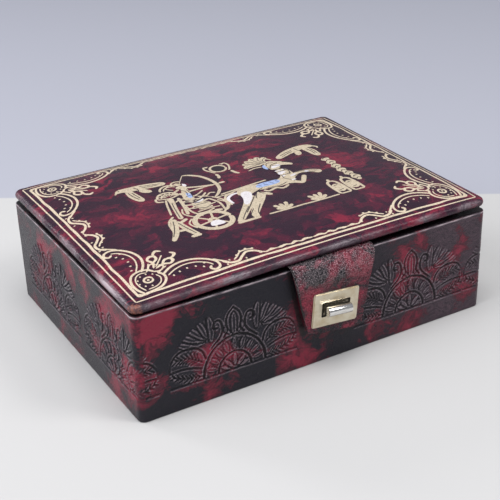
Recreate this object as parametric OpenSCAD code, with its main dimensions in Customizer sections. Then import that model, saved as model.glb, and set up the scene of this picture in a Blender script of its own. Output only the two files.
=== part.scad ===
// Leather-covered jewellery case with a padded lid on a leather hinge, a strap tab and a turn lock.
// Millimetres, +Z up, X along the front, front face towards -Y, origin at the middle of the underside.

/* [Case] */
// Outside width over the leather
case_w = 220; // [160:1:290]
// Outside depth over the leather
case_d = 162; // [110:1:220]
// Height of the rim above the table
case_h = 61.5; // [48:0.5:90]
// Outside radius of the four upright corners
corner_r = 4; // [2:0.5:10]
// Thickness of the wall boards
wall_t = 4; // [3:0.5:6]
// Thickness of the base board
base_t = 3; // [2:0.5:5]
// Thickness of the covering leather
leather_t = 1; // [0.6:0.1:1.6]
// Width of leather turned under the base board
base_turn = 12; // [8:1:20]
// Depth of leather turned over the rim into the case
rim_turn = 6; // [4:0.5:10]

/* [Lining and compartments] */
// Thickness of a velvet-covered lining card
lining_t = 1.5; // [1:0.1:2.5]
// Thickness of a velvet-covered divider
divider_t = 2.4; // [1.6:0.1:4]
// Height of the dividers above the floor lining
divider_h = 34; // [20:1:42]
// Clear depth of the back row of compartments
back_row_d = 62; // [40:1:80]
// Clear width of the left compartment in the back row
back_left_w = 122; // [60:1:150]
// Clear width of the ring compartment in the front row
ring_w = 84; // [50:1:110]
// Thickness of the card under the ring rolls
ring_card_t = 2; // [1:0.5:4]
// Diameter of one ring roll
roll_d = 13; // [9:0.5:18]
// Space left between two ring rolls
roll_gap = 0.4; // [0.2:0.1:1]

/* [Lid] */
// Space between the rim and the underside of the lid
lid_gap = 1.5; // [1.3:0.1:2.5]
// Thickness of the lid board
lid_board_t = 2.4; // [2:0.2:5]
// Thickness of the foam pad at the lid's edge
pad_t = 0.6; // [0.4:0.1:2]
// Rise of the padded top from the edge to the middle
crown_h = 4.4; // [2:0.2:8]
// Width over which the padded top rises
crown_run = 22; // [12:1:40]
// Plan radius of the lid corners
lid_corner_r = 5; // [4:0.5:10]
// Width of leather turned under the lid board
lid_turn = 11; // [9:1:20]
// Thickness of the lining panel under the lid
lid_lining_t = 2.6; // [2.2:0.1:4]
// Width of the mirror glass
mirror_w = 140; // [80:1:160]
// Depth of the mirror glass
mirror_d = 96; // [50:1:100]
// Thickness of the mirror glass
mirror_t = 1.5; // [1:0.1:3]
// Lap of the lining panel over the edge of the glass
mirror_lap = 2.5; // [1.5:0.5:5]

/* [Hinge] */
// Distance of the hinge strip from each side of the case
hinge_inset = 10; // [6:1:30]
// Thickness of the hinge leather
hinge_t = 1; // [0.6:0.1:1.6]
// Height of the hinge strip glued to the back of the case
hinge_h = 24; // [12:1:34]
// Height of the hinge strip glued to the back edge of the lid
hinge_lid_h = 3.6; // [3:0.2:6]
// Free leather on each side of the folding line
hinge_free = 0.8; // [0.6:0.1:1.5]
// Thickness of the cotton tape inside the hinge
tape_t = 0.4; // [0.3:0.1:0.8]
// Space between the folded tape and the lining below it
tape_rise = 0.8; // [0.4:0.1:2]

/* [Tab] */
// Distance of the tab and the lock to the right of the middle
lock_x = 4.5; // [-20:0.5:20]
// Width of the tab where it leaves the lid
tab_top_w = 52; // [40:1:70]
// Width of the tab at its lower end
tab_low_w = 35; // [33:1:60]
// Height of the lower end of the tab above the table
tab_low_z = 19.5; // [12:0.5:26]
// Slope of the hand-cut lower end, half its rise
tab_skew = 2.5; // [0:0.5:4]
// Thickness of the tab leather
tab_t = 1.4; // [1:0.1:2]
// Thickness of the leather lining behind the tab
tab_lining_t = 0.6; // [0.4:0.1:1]
// Thickness of the tongue of the tab under the lid
tab_root_t = 0.9; // [0.6:0.1:1]

/* [Lock] */
// Height of the middle of the lock above the table
lock_z = 34; // [30:0.5:38]
// Turn of the whole lock about its middle, in degrees
lock_turn = 5; // [0:0.5:8]
// Width of the lock plate on the tab
plate_w = 29; // [26:0.5:32]
// Height of the lock plate on the tab
plate_h = 20; // [18:0.5:24]
// Thickness of the lock plate
plate_t = 1; // [0.6:0.1:1.5]
// Bevel round the front of the lock plate
plate_bevel = 0.5; // [0.2:0.1:1]
// Corner radius of the lock plate
plate_r = 1.5; // [0.8:0.1:3]
// Thickness of the counter plate behind the tab
counter_t = 0.5; // [0.3:0.1:1]
// Space round the turn bar where it passes the window
bar_pass = 1.5; // [1.3:0.1:2]
// Thickness of the lock base on the case
lock_base_t = 0.8; // [0.5:0.1:1.2]
// Space round the boss in the window
boss_gap = 0.6; // [0.5:0.1:1.2]
// Length of the turn bar
bar_l = 15; // [12:0.5:16]
// Width of the turn bar
bar_w = 5.4; // [4:0.1:5.5]
// Height of the turn bar off the lock
bar_h = 5; // [3:0.1:6]
// Radius of the spindle
spindle_r = 1.5; // [1:0.1:1.8]
// Radial running clearance round the spindle
spindle_run = 0.06; // [0.02:0.01:0.1]

/* [Hidden] */
$fn = 48;
fit = 0.3;
touch = 0.05;

in_w = case_w - 2 * leather_t;
in_d = case_d - 2 * leather_t;
in_r = corner_r - leather_t;
board_top = case_h - leather_t;
base_top = leather_t + base_t;
wall_in_x = case_w / 2 - leather_t - wall_t;
wall_in_y = case_d / 2 - leather_t - wall_t;
room_x = wall_in_x - lining_t;
room_y = wall_in_y - lining_t;
floor_z = base_top + lining_t;
lining_top = case_h - rim_turn;

split_y = room_y - back_row_d - divider_t;
divider_top = floor_z + divider_h;
ring_x = -room_x + ring_w;
back_x = -room_x + back_left_w;
front_row_d = split_y + room_y;
roll_pitch = roll_d + roll_gap;
roll_n = floor((front_row_d - roll_gap) / roll_pitch);
roll_side = (front_row_d - roll_n * roll_pitch + roll_gap) / 2;

lid_z = case_h + lid_gap;
lid_t = 2 * leather_t + lid_board_t + pad_t;
lid_board_z = lid_z + leather_t;
pad_z = lid_board_z + lid_board_t;
lid_in_x = case_w / 2 - lid_turn;
lid_in_y = case_d / 2 - lid_turn;
panel_z = lid_board_z - lid_lining_t;
lid_top = lid_z + lid_t;
crown_inset = lid_t / 2 + 1.5;
crown_step = 0.2;
crown_bed = 0.5;
crown_rise = crown_h - crown_step;
crown_r = (crown_run * crown_run + crown_rise * crown_rise) / 2 / crown_rise;
crown_z = lid_top + crown_h - crown_r;
mirror_z = lid_board_z - mirror_t - touch;

hinge_l = case_w - 2 * hinge_inset;
back_y = case_d / 2;
fold_y = back_y + hinge_t / 2;
fold_z = case_h + lid_gap / 2;
tape_y = wall_in_y - leather_t;

front_y = -case_d / 2;
counter_y = front_y - lock_base_t - 0.5;
tab_back_y = counter_y - counter_t;
tab_mid_y = tab_back_y - tab_lining_t;
tab_front_y = tab_mid_y - tab_t;
plate_front_y = tab_front_y - plate_t;
bar_y = plate_front_y - 0.35;
boss_front_y = plate_front_y + fit;
tab_fold_y = front_y - 1.3;
tab_fold_z = lid_z - 0.6;
tab_top_z = tab_fold_z - 0.5;
rivet_x = plate_w / 2 - 2.6;
rivet_z = plate_h / 2 - 2.4;
rivet_r = 0.7;
pocket_r = 4.2;
pocket_d = 2;
washer_t = 0.6;
clip_t = 0.8;
clip_r = 3.4;
window_w = bar_l + 2 * bar_pass;
window_h = bar_w + 2 * bar_pass;
boss_w = window_w - 2 * boss_gap;
boss_h = window_h - 2 * boss_gap;
base_screw_x = boss_w / 2 + 3;

// Rectangle with round corners, centred
module round_rect(w, d, r) {
    union() {
        square([w - 2 * r, d], center = true);
        square([w, d - 2 * r], center = true);
        for (x = [-1, 1], y = [-1, 1])
            translate([x * (w / 2 - r), y * (d / 2 - r)]) circle(r);
    }
}

// Round-cornered plate standing on z
module slab(w, d, r, z, h) {
    translate([0, 0, z]) linear_extrude(h) round_rect(w, d, r);
}

// Box between two corners
module block(a, b) {
    translate(a) cube(b - a);
}

// Places a lock part: its own axis lies along Y, its window lies level before the turn
module at_lock(y) {
    translate([lock_x, y, lock_z]) rotate([0, lock_turn, 0]) children();
}

// Upright plate parallel to the front, from y towards the viewer
module front_plate(w, h, r, y, t) {
    at_lock(y) rotate([90, 0, 0]) linear_extrude(t) round_rect(w, h, r);
}

// Round rod along Y through the middle of the lock, from y0 back to y1
module lock_rod(r, y0, y1) {
    at_lock(y1) rotate([90, 0, 0]) cylinder(r = r, h = y1 - y0);
}

// Window through everything on the tab
module window_cut(more) {
    front_plate(window_w + more, window_h + more, 0.6, counter_y + 2, 8);
}

// Rods of the four rivets through the tab
module rivet_rods(r, y0, y1) {
    at_lock(y1)
        for (x = [-rivet_x, rivet_x], z = [-rivet_z, rivet_z])
            translate([x, 0, z]) rotate([90, 0, 0]) cylinder(r = r, h = y1 - y0);
}

// Rods of the two rivets of the lock base
module base_rods(r, y0, y1) {
    at_lock(y1)
        for (x = [-base_screw_x, base_screw_x])
            translate([x, 0, 0]) rotate([90, 0, 0]) cylinder(r = r, h = y1 - y0);
}

// Flat cushion-edged plate: half-round edge in front and at the sides, square in the middle of the back
module edged_plate(w, d, r, z, h) {
    e = h / 2;
    translate([0, 0, z]) union() {
        for (x = [-1, 1], y = [-1, 1])
            translate([x * (w / 2 - r), y * (d / 2 - r), 0]) rotate_extrude() union() {
                square([r - e, h]);
                translate([r - e, e]) intersection() {
                    circle(e);
                    translate([0, -e]) square([e, h]);
                }
            }
        translate([0, d / 2 - r, 0]) rotate([90, 0, 0]) linear_extrude(d - 2 * r) union() {
            translate([-w / 2 + e, 0]) square([w - 2 * e, h]);
            for (x = [-1, 1]) translate([x * (w / 2 - e), e]) circle(e);
        }
        translate([-w / 2 + r, 0, 0]) rotate([90, 0, 90]) linear_extrude(w - 2 * r) union() {
            translate([-d / 2 + e, 0]) square([d - e, h]);
            translate([-d / 2 + e, e]) circle(e);
        }
    }
}

// Section of the crowned top over a half span: level in the middle, rolled down at both edges
module crown_section(half, skin) {
    intersection() {
        union() {
            for (u = [-1, 1])
                translate([u * (half - crown_run), crown_z]) circle(crown_r - skin, $fn = 360);
            translate([-half + crown_run, crown_z]) square([2 * (half - crown_run), crown_r - skin]);
        }
        translate([-half + skin, lid_top - skin - crown_bed])
            square([2 * (half - skin), crown_h + crown_bed]);
    }
}

// Crowned top of the lid; skin is taken off all round
module crown(skin) {
    intersection() {
        translate([-case_w / 2, 0, 0]) rotate([90, 0, 90])
            linear_extrude(case_w) crown_section(case_d / 2 - crown_inset, skin);
        translate([0, case_d / 2, 0]) rotate([90, 0, 0])
            linear_extrude(case_d) crown_section(case_w / 2 - crown_inset, skin);
    }
}

// Outline of the tab in the plane of the front, drawn in x and z
module tab_outline(grow) {
    polygon([
        [lock_x - tab_top_w / 2 - grow, tab_top_z],
        [lock_x + tab_top_w / 2 + grow, tab_top_z],
        [lock_x + tab_low_w / 2 + grow, tab_low_z - tab_skew + 2],
        [lock_x + tab_low_w / 2 - 2 + grow, tab_low_z - tab_skew - grow],
        [lock_x - tab_low_w / 2 + 2 - grow, tab_low_z + tab_skew - grow],
        [lock_x - tab_low_w / 2 - grow, tab_low_z + tab_skew + 2]
    ]);
}

// Tab layer from y towards the viewer
module tab_layer(y, t, grow) {
    translate([0, y, 0]) rotate([90, 0, 0]) linear_extrude(t) tab_outline(grow);
}

// Base board, on which the walls stand
module base_board() {
    color([0.72, 0.58, 0.4]) slab(in_w, in_d, in_r, leather_t, base_t);
}

// Wall board across the front or the back, with the case's corner radius
module long_wall(side) {
    intersection() {
        slab(in_w, in_d, in_r, base_top, board_top - base_top);
        translate([-in_w / 2, side * (in_d / 2 - wall_t / 2) - wall_t / 2, base_top])
            cube([in_w, wall_t, board_top - base_top]);
    }
}

// Front wall board, drilled for the lock
module front_board() {
    color([0.72, 0.58, 0.4]) difference() {
        long_wall(-1);
        lock_rod(spindle_r + fit, front_y, -wall_in_y + 1);
        lock_rod(pocket_r, -wall_in_y - pocket_d, -wall_in_y + 1);
        base_rods(rivet_r, front_y, front_y + leather_t + 2);
    }
}

// Back wall board
module back_board() {
    color([0.72, 0.58, 0.4]) long_wall(1);
}

// Side wall board, between the front and back boards
module side_wall(side) {
    translate([side * (in_w / 2 - wall_t / 2) - wall_t / 2, -wall_in_y, base_top])
        cube([wall_t, 2 * wall_in_y, board_top - base_top]);
}

// Left wall board
module left_board() {
    color([0.72, 0.58, 0.4]) side_wall(-1);
}

// Right wall board
module right_board() {
    color([0.72, 0.58, 0.4]) side_wall(1);
}

// Leather round the outside, turned under the base and over the rim
module case_leather() {
    color([0.3, 0.08, 0.12]) difference() {
        slab(case_w, case_d, corner_r, 0, case_h);
        slab(in_w, in_d, in_r, leather_t, board_top - leather_t - rim_turn);
        difference() {
            slab(in_w, in_d, in_r, board_top - rim_turn - touch, rim_turn + touch);
            block([-wall_in_x, -wall_in_y, lining_top], [wall_in_x, wall_in_y, board_top + 1]);
        }
        block([-case_w / 2 + base_turn, -case_d / 2 + base_turn, -1],
            [case_w / 2 - base_turn, case_d / 2 - base_turn, leather_t + 1]);
        block([-wall_in_x + leather_t, -wall_in_y + leather_t, lining_top - 1],
            [wall_in_x - leather_t, wall_in_y - leather_t, case_h + 1]);
        lock_rod(spindle_r + fit, front_y - 1, front_y + 2);
        base_rods(rivet_r, front_y - 1, front_y + 2);
    }
}

// Leatherette sheet glued inside the turned leather of the underside
module base_cover() {
    color([0.12, 0.1, 0.11]) block(
        [-case_w / 2 + base_turn + fit, -case_d / 2 + base_turn + fit, 0],
        [case_w / 2 - base_turn - fit, case_d / 2 - base_turn - fit, leather_t]);
}

// Velvet-covered card on the floor
module floor_lining() {
    color([0.35, 0.05, 0.1]) block([-wall_in_x, -wall_in_y, base_top], [wall_in_x, wall_in_y, floor_z]);
}

// Velvet-covered card along the front
module front_lining() {
    color([0.35, 0.05, 0.1]) block([-wall_in_x, -wall_in_y, floor_z], [wall_in_x, -room_y, lining_top]);
}

// Velvet-covered card along the back
module back_lining() {
    color([0.35, 0.05, 0.1]) block([-wall_in_x, room_y, floor_z], [wall_in_x, wall_in_y, lining_top]);
}

// Velvet-covered card on the left
module left_lining() {
    color([0.35, 0.05, 0.1]) block([-wall_in_x, -room_y, floor_z], [-room_x, room_y, lining_top]);
}

// Velvet-covered card on the right
module right_lining() {
    color([0.35, 0.05, 0.1]) block([room_x, -room_y, floor_z], [wall_in_x, room_y, lining_top]);
}

// Divider along the case between the two rows
module long_divider() {
    color([0.4, 0.06, 0.12]) block([-room_x, split_y, floor_z], [room_x, split_y + divider_t, divider_top]);
}

// Divider between the ring compartment and the rest of the front row
module front_divider() {
    color([0.4, 0.06, 0.12]) block([ring_x, -room_y, floor_z], [ring_x + divider_t, split_y, divider_top]);
}

// Divider in the back row
module back_divider() {
    color([0.4, 0.06, 0.12]) block(
        [back_x, split_y + divider_t, floor_z], [back_x + divider_t, room_y, divider_top]);
}

// Covered card that carries the ring rolls
module ring_card() {
    color([0.35, 0.05, 0.1]) block(
        [-room_x, -room_y, floor_z], [ring_x, split_y, floor_z + ring_card_t]);
}

// Velvet rolls that hold rings between them
module ring_rolls() {
    color([0.45, 0.07, 0.14])
        for (i = [0 : roll_n - 1])
            translate([-room_x + touch, -room_y + roll_side + roll_d / 2 + i * roll_pitch,
                floor_z + ring_card_t + roll_d / 2])
                rotate([0, 90, 0]) cylinder(r = roll_d / 2, h = ring_w - 2 * touch);
}

// Lower leaf of the leather hinge, glued to the back of the case
module hinge_case_strip() {
    color([0.3, 0.08, 0.12]) block(
        [-hinge_l / 2, back_y, fold_z - hinge_free - hinge_h],
        [hinge_l / 2, back_y + hinge_t, fold_z - hinge_free]);
}

// Upper leaf of the leather hinge, glued to the back edge of the lid
module hinge_lid_strip() {
    color([0.3, 0.08, 0.12]) block(
        [-hinge_l / 2, back_y, fold_z + hinge_free],
        [hinge_l / 2, back_y + hinge_t, fold_z + hinge_free + hinge_lid_h]);
}

// Folded cotton tape inside the hinge, glued to the rim and to the underside of the lid
module hinge_tape() {
    low = lining_top + tape_rise;
    far = tape_y - 2;
    top = lid_z - touch;
    color([0.35, 0.05, 0.1]) translate([-hinge_l / 2, 0, 0]) rotate([90, 0, 90]) linear_extrude(hinge_l)
        polygon([
            [tape_y - touch, low],
            [tape_y - touch, case_h - 0.2],
            [tape_y - tape_t, case_h - 0.2],
            [tape_y - tape_t, low + tape_t],
            [far, low + tape_t],
            [far, top],
            [lid_in_y + fit, top],
            [lid_in_y + fit, top - tape_t],
            [far - tape_t, top - tape_t],
            [far - tape_t, low]
        ]);
}

// Base of the turn lock on the front of the case, with the boss that fills the window
module lock_base() {
    color([0.75, 0.73, 0.68]) difference() {
        union() {
            front_plate(2 * (base_screw_x + 2.4), boss_h + 4, plate_r, front_y, lock_base_t);
            front_plate(boss_w, boss_h, 0.6, front_y, front_y - boss_front_y);
        }
        lock_rod(spindle_r + spindle_run, boss_front_y - 1, front_y + 1);
        base_rods(rivet_r, front_y - lock_base_t - 1, front_y + 1);
    }
}

// Two rivets that hold the lock base to the front board
module lock_base_rivets() {
    color([0.75, 0.73, 0.68]) union() {
        base_rods(rivet_r, front_y - lock_base_t, front_y + leather_t + 2);
        base_rods(1.2, front_y - lock_base_t - 0.25, front_y - lock_base_t);
    }
}

// Spring washer in the pocket of the front board
module spring_washer() {
    color([0.6, 0.6, 0.62]) difference() {
        lock_rod(clip_r, -wall_in_y - pocket_d, -wall_in_y - pocket_d + washer_t);
        lock_rod(spindle_r + spindle_run, front_y, -wall_in_y + 1);
    }
}

// Half-round bar that is turned across the window
module turn_bar() {
    half = bar_w / 2;
    color([0.85, 0.85, 0.86]) difference() {
        at_lock(bar_y) translate([-bar_l / 2, 0, 0]) rotate([0, 90, 0]) rotate([0, 0, 180])
            linear_extrude(bar_l) intersection() {
                union() {
                    translate([-half, 0]) square([bar_w, bar_h - half]);
                    translate([0, bar_h - half]) circle(half);
                }
                translate([-half, 0]) square([bar_w, bar_h]);
            }
        lock_rod(spindle_r, bar_y - 3, bar_y + 1);
    }
}

// Spindle of the turn bar
module spindle() {
    color([0.7, 0.7, 0.72]) lock_rod(spindle_r, bar_y - 3, -wall_in_y - 0.3);
}

// Clip on the inner end of the spindle
module spindle_clip() {
    color([0.6, 0.6, 0.62]) difference() {
        lock_rod(clip_r, -wall_in_y - pocket_d + washer_t + 0.1, -wall_in_y - pocket_d + washer_t + 0.1 + clip_t);
        lock_rod(spindle_r, front_y, -wall_in_y + 1);
    }
}

// Board and edge of the pad together
module lid_core() {
    edged_plate(case_w - 2 * leather_t, case_d - 2 * leather_t, lid_corner_r - leather_t,
        lid_board_z, lid_board_t + pad_t);
}

// Board of the lid
module lid_board() {
    color([0.72, 0.58, 0.4]) intersection() {
        lid_core();
        block([-case_w, -case_d, lid_board_z], [case_w, case_d, pad_z]);
    }
}

// Foam pad on the lid board
module lid_pad() {
    color([0.85, 0.8, 0.7]) union() {
        intersection() {
            lid_core();
            block([-case_w, -case_d, pad_z], [case_w, case_d, lid_top]);
        }
        crown(leather_t);
    }
}

// Leather over the lid, turned under its edges
module lid_leather() {
    color([0.3, 0.06, 0.12]) difference() {
        union() {
            edged_plate(case_w, case_d, lid_corner_r, lid_z, lid_t);
            crown(0);
        }
        lid_core();
        crown(leather_t);
        block([-lid_in_x, -lid_in_y, lid_z - 1], [lid_in_x, lid_in_y, lid_board_z + 0.5]);
    }
}

// Velvet-covered panel under the lid, with a rebate for the mirror
module lid_lining() {
    glass_w = mirror_w + 2 * fit;
    glass_d = mirror_d + 2 * fit;
    color([0.35, 0.05, 0.1]) difference() {
        block([-lid_in_x + fit, -lid_in_y + fit, panel_z], [lid_in_x - fit, lid_in_y - fit, lid_board_z]);
        block([-glass_w / 2, -glass_d / 2, mirror_z], [glass_w / 2, glass_d / 2, lid_board_z + 1]);
        block([-mirror_w / 2 + mirror_lap, -mirror_d / 2 + mirror_lap, panel_z - 1],
            [mirror_w / 2 - mirror_lap, mirror_d / 2 - mirror_lap, lid_board_z + 1]);
    }
}

// Mirror glass held between the lining panel and the lid board
module lid_mirror() {
    color([0.8, 0.85, 0.88]) block(
        [-mirror_w / 2, -mirror_d / 2, mirror_z], [mirror_w / 2, mirror_d / 2, mirror_z + mirror_t]);
}

// Tongue of the tab, glued under the front edge of the lid
module tab_tongue() {
    color([0.3, 0.08, 0.12]) block(
        [lock_x - tab_top_w / 2, front_y - 0.5, lid_z - tab_root_t],
        [lock_x + tab_top_w / 2, -lid_in_y - fit, lid_z]);
}

// Leather of the tab
module tab_leather() {
    color([0.32, 0.07, 0.13]) difference() {
        tab_layer(tab_mid_y, tab_t, 0);
        window_cut(1);
        rivet_rods(rivet_r, tab_front_y - 1, tab_mid_y + 1);
    }
}

// Thin leather behind the tab
module tab_lining() {
    color([0.2, 0.06, 0.08]) difference() {
        tab_layer(tab_back_y, tab_lining_t, -0.4);
        window_cut(1);
        rivet_rods(rivet_r, tab_mid_y - 1, tab_back_y + 1);
    }
}

// Lock plate with its window and bevelled front
module lock_plate() {
    color([0.85, 0.8, 0.68]) difference() {
        union() {
            front_plate(plate_w, plate_h, plate_r, tab_front_y, plate_t - plate_bevel);
            front_plate(plate_w - 2 * plate_bevel, plate_h - 2 * plate_bevel, plate_r - plate_bevel,
                tab_front_y, plate_t);
        }
        window_cut(0);
    }
}

// Counter plate behind the tab
module counter_plate() {
    color([0.7, 0.68, 0.62]) difference() {
        front_plate(plate_w - 1, plate_h - 1, plate_r - 0.5, counter_y, counter_t);
        window_cut(0);
        rivet_rods(rivet_r, tab_back_y - 1, counter_y + 1);
    }
}

// Four rivets that draw the two plates together through the tab
module plate_rivets() {
    color([0.7, 0.68, 0.62]) rivet_rods(rivet_r, tab_front_y, counter_y);
}

base_board();
front_board();
back_board();
left_board();
right_board();
case_leather();
base_cover();
floor_lining();
front_lining();
back_lining();
left_lining();
right_lining();
long_divider();
front_divider();
back_divider();
ring_card();
ring_rolls();
hinge_case_strip();
hinge_tape();
lock_base();
lock_base_rivets();
spring_washer();
turn_bar();
spindle();
spindle_clip();
lid_board();
lid_pad();
lid_leather();
lid_lining();
lid_mirror();
hinge_lid_strip();
tab_tongue();
tab_leather();
tab_lining();
lock_plate();
counter_plate();
plate_rivets();
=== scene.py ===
import bpy
import numpy as np
from mathutils import Matrix, Vector


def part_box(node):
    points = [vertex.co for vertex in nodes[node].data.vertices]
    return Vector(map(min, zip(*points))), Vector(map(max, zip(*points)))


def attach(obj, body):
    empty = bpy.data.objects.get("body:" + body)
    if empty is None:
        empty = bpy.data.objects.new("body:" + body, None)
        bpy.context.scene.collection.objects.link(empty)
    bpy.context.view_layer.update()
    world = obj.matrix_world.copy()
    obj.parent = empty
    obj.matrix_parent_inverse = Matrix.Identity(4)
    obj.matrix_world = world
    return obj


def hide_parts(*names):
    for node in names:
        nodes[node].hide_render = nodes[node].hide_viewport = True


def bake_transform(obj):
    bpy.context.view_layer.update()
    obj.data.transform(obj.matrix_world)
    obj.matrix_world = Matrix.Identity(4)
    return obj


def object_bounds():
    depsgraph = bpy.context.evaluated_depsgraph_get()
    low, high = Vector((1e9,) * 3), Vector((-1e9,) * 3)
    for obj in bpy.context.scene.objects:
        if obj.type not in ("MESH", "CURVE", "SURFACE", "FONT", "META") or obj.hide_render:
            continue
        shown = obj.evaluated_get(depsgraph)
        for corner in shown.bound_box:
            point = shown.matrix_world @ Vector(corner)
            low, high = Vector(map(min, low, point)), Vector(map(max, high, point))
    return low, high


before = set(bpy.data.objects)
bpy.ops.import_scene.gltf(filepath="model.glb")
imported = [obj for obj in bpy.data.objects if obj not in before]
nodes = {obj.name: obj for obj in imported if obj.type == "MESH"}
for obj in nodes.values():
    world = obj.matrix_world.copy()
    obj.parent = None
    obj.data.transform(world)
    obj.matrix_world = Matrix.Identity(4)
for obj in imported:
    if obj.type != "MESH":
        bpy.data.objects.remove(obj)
cad_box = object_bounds()

# ------------------------------------------------------------------ boards
# Base, walls and lid board are sawn plywood, glued edge to edge. The leather
# covers them, so they keep their CAD shape and only need the wood's finish.


class Wire:
    """A value that runs between shader nodes. Arithmetic on it adds Math nodes."""

    def __init__(self, finish, socket):
        self.finish, self.socket = finish, socket

    def math(self, operation, *values):
        return self.finish.add("Math", {"operation": operation}, dict(enumerate(values)))

    def __add__(self, other):
        return self.math("ADD", self, other)

    def __sub__(self, other):
        return self.math("SUBTRACT", self, other)

    def __rsub__(self, other):
        return self.math("SUBTRACT", other, self)

    def __mul__(self, other):
        return self.math("MULTIPLY", self, other)

    def __abs__(self):
        return self.math("ABSOLUTE", self)

    __radd__, __rmul__ = __add__, __mul__

    def step(self, low, high):
        """0 below low, 1 above high, smooth between them."""
        ends = {0: self, 1: low, 2: high}
        return self.finish.add("MapRange", {"interpolation_type": "SMOOTHSTEP"}, ends)


class Finish:
    """A material: one Principled shader and the nodes that feed it."""

    def __init__(self, name, **constants):
        self.material = bpy.data.materials.new(name)
        self.material.use_nodes = True
        self.tree = self.material.node_tree
        self.tree.nodes.clear()
        self.shader = self.tree.nodes.new("ShaderNodeBsdfPrincipled")
        output = self.tree.nodes.new("ShaderNodeOutputMaterial")
        self.tree.links.new(self.shader.outputs[0], output.inputs[0])
        self.set(**constants)
        self.at = self.add("TexCoord", out="Object")

    def join(self, socket, value):
        """Links a wire to a socket, or sets a constant on it."""
        if isinstance(value, Wire):
            self.tree.links.new(value.socket, socket)
        elif socket.type == "RGBA" and len(value) == 3:
            socket.default_value = (*value, 1)
        else:
            socket.default_value = value

    def set(self, **values):
        """Fills the shader's sockets; base_color stands for Base Color."""
        for name, value in values.items():
            label = name.replace("_", " ").title().replace("Ior", "IOR")
            self.join(self.shader.inputs[label], value)
        return self

    def add(self, kind, settings=(), sockets=(), out=0):
        """Adds one node: its settings first, then the values or links of its sockets."""
        node = self.tree.nodes.new("ShaderNode" + kind)
        for key, value in dict(settings).items():
            setattr(node, key, value)
        for key, value in dict(sockets).items():
            self.join(node.inputs[key], value)
        return Wire(self, node.outputs[out])

    def mix(self, share, first, second):
        """Colour between first and second by share."""
        return self.add("Mix", {"data_type": "RGBA"}, {0: share, 6: first, 7: second}, 2)

    def noise(self, at, scale, detail=3, rough=0.55, distortion=0, out=0):
        """Cloudy noise; scale is in cycles per metre."""
        values = {"Vector": at, "Scale": scale, "Detail": detail, "Roughness": rough}
        return self.add("TexNoise", (), {**values, "Distortion": distortion}, out)

    def stretch(self, at, scales, turn=(0, 0, 0)):
        """at scaled by axis, then turned, to draw a pattern out along one direction."""
        return self.add("Mapping", (), {"Vector": at, "Scale": scales, "Rotation": turn})

    def bump(self, height, depth, under=None):
        """Relief of the given depth in metres."""
        values = {"Height": height, "Distance": depth, "Strength": 1}
        if under is not None:
            values["Normal"] = under
        return self.add("Bump", (), values)


def finish_nodes(finish, names, bevel=0.0):
    """Gives CAD nodes their material. Where bevel is set, edges that turn by more than
    0.6 radians are rounded to that width, after points closer than 1 micron are joined."""
    for name in names:
        node = nodes[name]
        node.data.materials.clear()
        node.data.materials.append(finish.material)
        if bevel:
            node.modifiers.new("joined", "WELD").merge_threshold = 1e-6
            rounding = node.modifiers.new("rounded", "BEVEL")
            rounding.width, rounding.segments = bevel, 3
            rounding.limit_method, rounding.angle_limit = "ANGLE", 0.6
            rounding.harden_normals = True
            node.data.shade_smooth()


plywood = Finish("sawn plywood", roughness=0.7)
plies = plywood.noise(plywood.stretch(plywood.at, (40, 40, 900)), 1, 2)
fibres = plywood.noise(plywood.stretch(plywood.at, (60, 900, 900)), 1, 3)
plywood.set(
    base_color=plywood.mix(plies * 0.6 + fibres * 0.4, (0.5, 0.34, 0.19), (0.7, 0.52, 0.32)),
    normal=plywood.bump(fibres, 0.0002),
)
boards = ["base_board", "front_board", "back_board", "left_board", "right_board"]
finish_nodes(plywood, boards)

# ------------------------------------------------------------ case leather
# One strip of marbled sheep leather glued round the walls, turned under the
# base and over the rim. A row of palmettes is pressed into it with hot plates.

# In metres: the case's size, the corners' radius and the leather's thickness. The
# leather ends BASE_TURN in under the base and at the height RIM_TURN inside the wall,
# which is WALL_IN thick; its folds are rounded to FOLD.
CASE_W, CASE_D, RIM = 0.220, 0.162, 0.0615
CORNER, SKIN = 0.004, 0.001
BASE_TURN, WALL_IN, RIM_TURN = 0.012, 0.006, 0.0555
FOLD = 0.0008
# In mm: the foot of the pressed band, and the field and grid of one pressed plate.
PRESS_Z = 14.5
PLATE_HALF, PLATE_DROP, PLATE_RISE, PLATE_STEP = 38.5, 1.5, 38.25, 0.25


def hump(away, width):
    """1 in the middle, falling off both ways: exp(-(away / width) ** 2)."""
    return np.exp(-((away / width) ** 2))


def cells(rows, columns, around=False, along=False):
    """Corner numbers of each cell of a grid of points, row by row. A cell's normal is
    the cross product of the step in j with the step in i. around closes the columns,
    along the rows."""
    i = np.arange(rows if along else rows - 1)[:, None]
    j = np.arange(columns if around else columns - 1)[None, :]
    up, on = (i + 1) % rows, (j + 1) % columns
    corners = [i * columns + j, i * columns + on, up * columns + on, up * columns + j]
    return np.stack(np.broadcast_arrays(*corners), -1).reshape(-1, 4)


def weave(name, grid, around=False, along=False, caps=False):
    """Surface through a grid of points P[i, j], one face for each cell. caps closes the
    two ends of a tube with one face each."""
    rows, columns = grid.shape[:2]
    faces = cells(rows, columns, around, along)
    ends = []
    if caps and along:
        ends = [np.arange(rows) * columns, np.arange(rows)[::-1] * columns + columns - 1]
    elif caps:
        ends = [np.arange(columns)[::-1], (rows - 1) * columns + np.arange(columns)]
    return surface(name, grid.reshape(-1, 3), faces, [end.tolist() for end in ends])


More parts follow.
